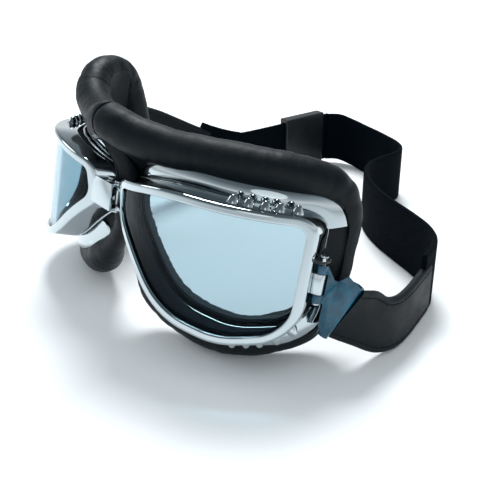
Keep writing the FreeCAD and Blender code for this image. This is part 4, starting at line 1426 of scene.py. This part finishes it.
class GOGGLES_OT_stage(bpy.types.Operator):
    """Makes the floor, the lights and the camera"""
    bl_idname = "goggles.stage"
    bl_label = "Stage"

    def execute(self, context):
        build_stage()
        return {"FINISHED"}


class GOGGLES_OT_shells(bpy.types.Operator):
    """Makes the chromed shells and their air scoops"""
    bl_idname = "goggles.shells"
    bl_label = "Shells"

    def execute(self, context):
        build_shells()
        return {"FINISHED"}


class GOGGLES_OT_lenses(bpy.types.Operator):
    """Makes the curved glass lenses"""
    bl_idname = "goggles.lenses"
    bl_label = "Lenses"

    def execute(self, context):
        build_lenses()
        return {"FINISHED"}


class GOGGLES_OT_inner_rings(bpy.types.Operator):
    """Makes gaskets, carriers and wires"""
    bl_idname = "goggles.inner_rings"
    bl_label = "Inner rings"

    def execute(self, context):
        build_inner_rings()
        return {"FINISHED"}


class GOGGLES_OT_flanges(bpy.types.Operator):
    """Makes the brow and lower flanges"""
    bl_idname = "goggles.flanges"
    bl_label = "Flanges"

    def execute(self, context):
        build_flanges()
        return {"FINISHED"}


class GOGGLES_OT_cushions(bpy.types.Operator):
    """Makes the rolled leather cushions"""
    bl_idname = "goggles.cushions"
    bl_label = "Cushions"

    def execute(self, context):
        build_cushions()
        return {"FINISHED"}


class GOGGLES_OT_linings(bpy.types.Operator):
    """Makes the felt linings"""
    bl_idname = "goggles.linings"
    bl_label = "Linings"

    def execute(self, context):
        build_linings()
        return {"FINISHED"}


class GOGGLES_OT_bridge(bpy.types.Operator):
    """Makes the bridge and its pins"""
    bl_idname = "goggles.bridge"
    bl_label = "Bridge"

    def execute(self, context):
        build_bridge()
        return {"FINISHED"}


class GOGGLES_OT_strap_hinges(bpy.types.Operator):
    """Makes the plates, films and loops"""
    bl_idname = "goggles.strap_hinges"
    bl_label = "Strap hinges"

    def execute(self, context):
        build_strap_hinges()
        return {"FINISHED"}


class GOGGLES_OT_strap_leathers(bpy.types.Operator):
    """Makes the leather tabs"""
    bl_idname = "goggles.strap_leathers"
    bl_label = "Strap leathers"

    def execute(self, context):
        build_strap_leathers()
        return {"FINISHED"}


class GOGGLES_OT_elastics(bpy.types.Operator):
    """Makes the woven elastic"""
    bl_idname = "goggles.elastics"
    bl_label = "Elastics"

    def execute(self, context):
        build_elastics()
        return {"FINISHED"}


class GOGGLES_OT_slider(bpy.types.Operator):
    """Makes the strap slider"""
    bl_idname = "goggles.slider"
    bl_label = "Slider"

    def execute(self, context):
        build_slider()
        return {"FINISHED"}


STEPS = (
    GOGGLES_OT_stage, GOGGLES_OT_shells, GOGGLES_OT_lenses, GOGGLES_OT_inner_rings, GOGGLES_OT_flanges,
    GOGGLES_OT_cushions, GOGGLES_OT_linings, GOGGLES_OT_bridge, GOGGLES_OT_strap_hinges,
    GOGGLES_OT_strap_leathers, GOGGLES_OT_elastics, GOGGLES_OT_slider,
)


class GOGGLES_PT_panel(bpy.types.Panel):
    """Lists the steps that build the goggles."""
    bl_label = "Goggles"
    bl_space_type = "VIEW_3D"
    bl_region_type = "UI"
    bl_category = "Goggles"

    def draw(self, context):
        for step in STEPS:
            self.layout.operator(step.bl_idname)


def register():
    for name, group in GROUPS.items():
        bpy.utils.register_class(group)
        setattr(bpy.types.Scene, f"goggles_{name}", bpy.props.PointerProperty(type=group))
    for kind in (*STEPS, GOGGLES_PT_panel):
        bpy.utils.register_class(kind)


def unregister():
    for kind in (GOGGLES_PT_panel, *reversed(STEPS)):
        bpy.utils.unregister_class(kind)
    for name, group in GROUPS.items():
        delattr(bpy.types.Scene, f"goggles_{name}")
        bpy.utils.unregister_class(group)


def main():
    register()
    for step in STEPS:
        getattr(bpy.ops.goggles, step.bl_idname.split(".")[1])()


if __name__ == "__main__":
    main()
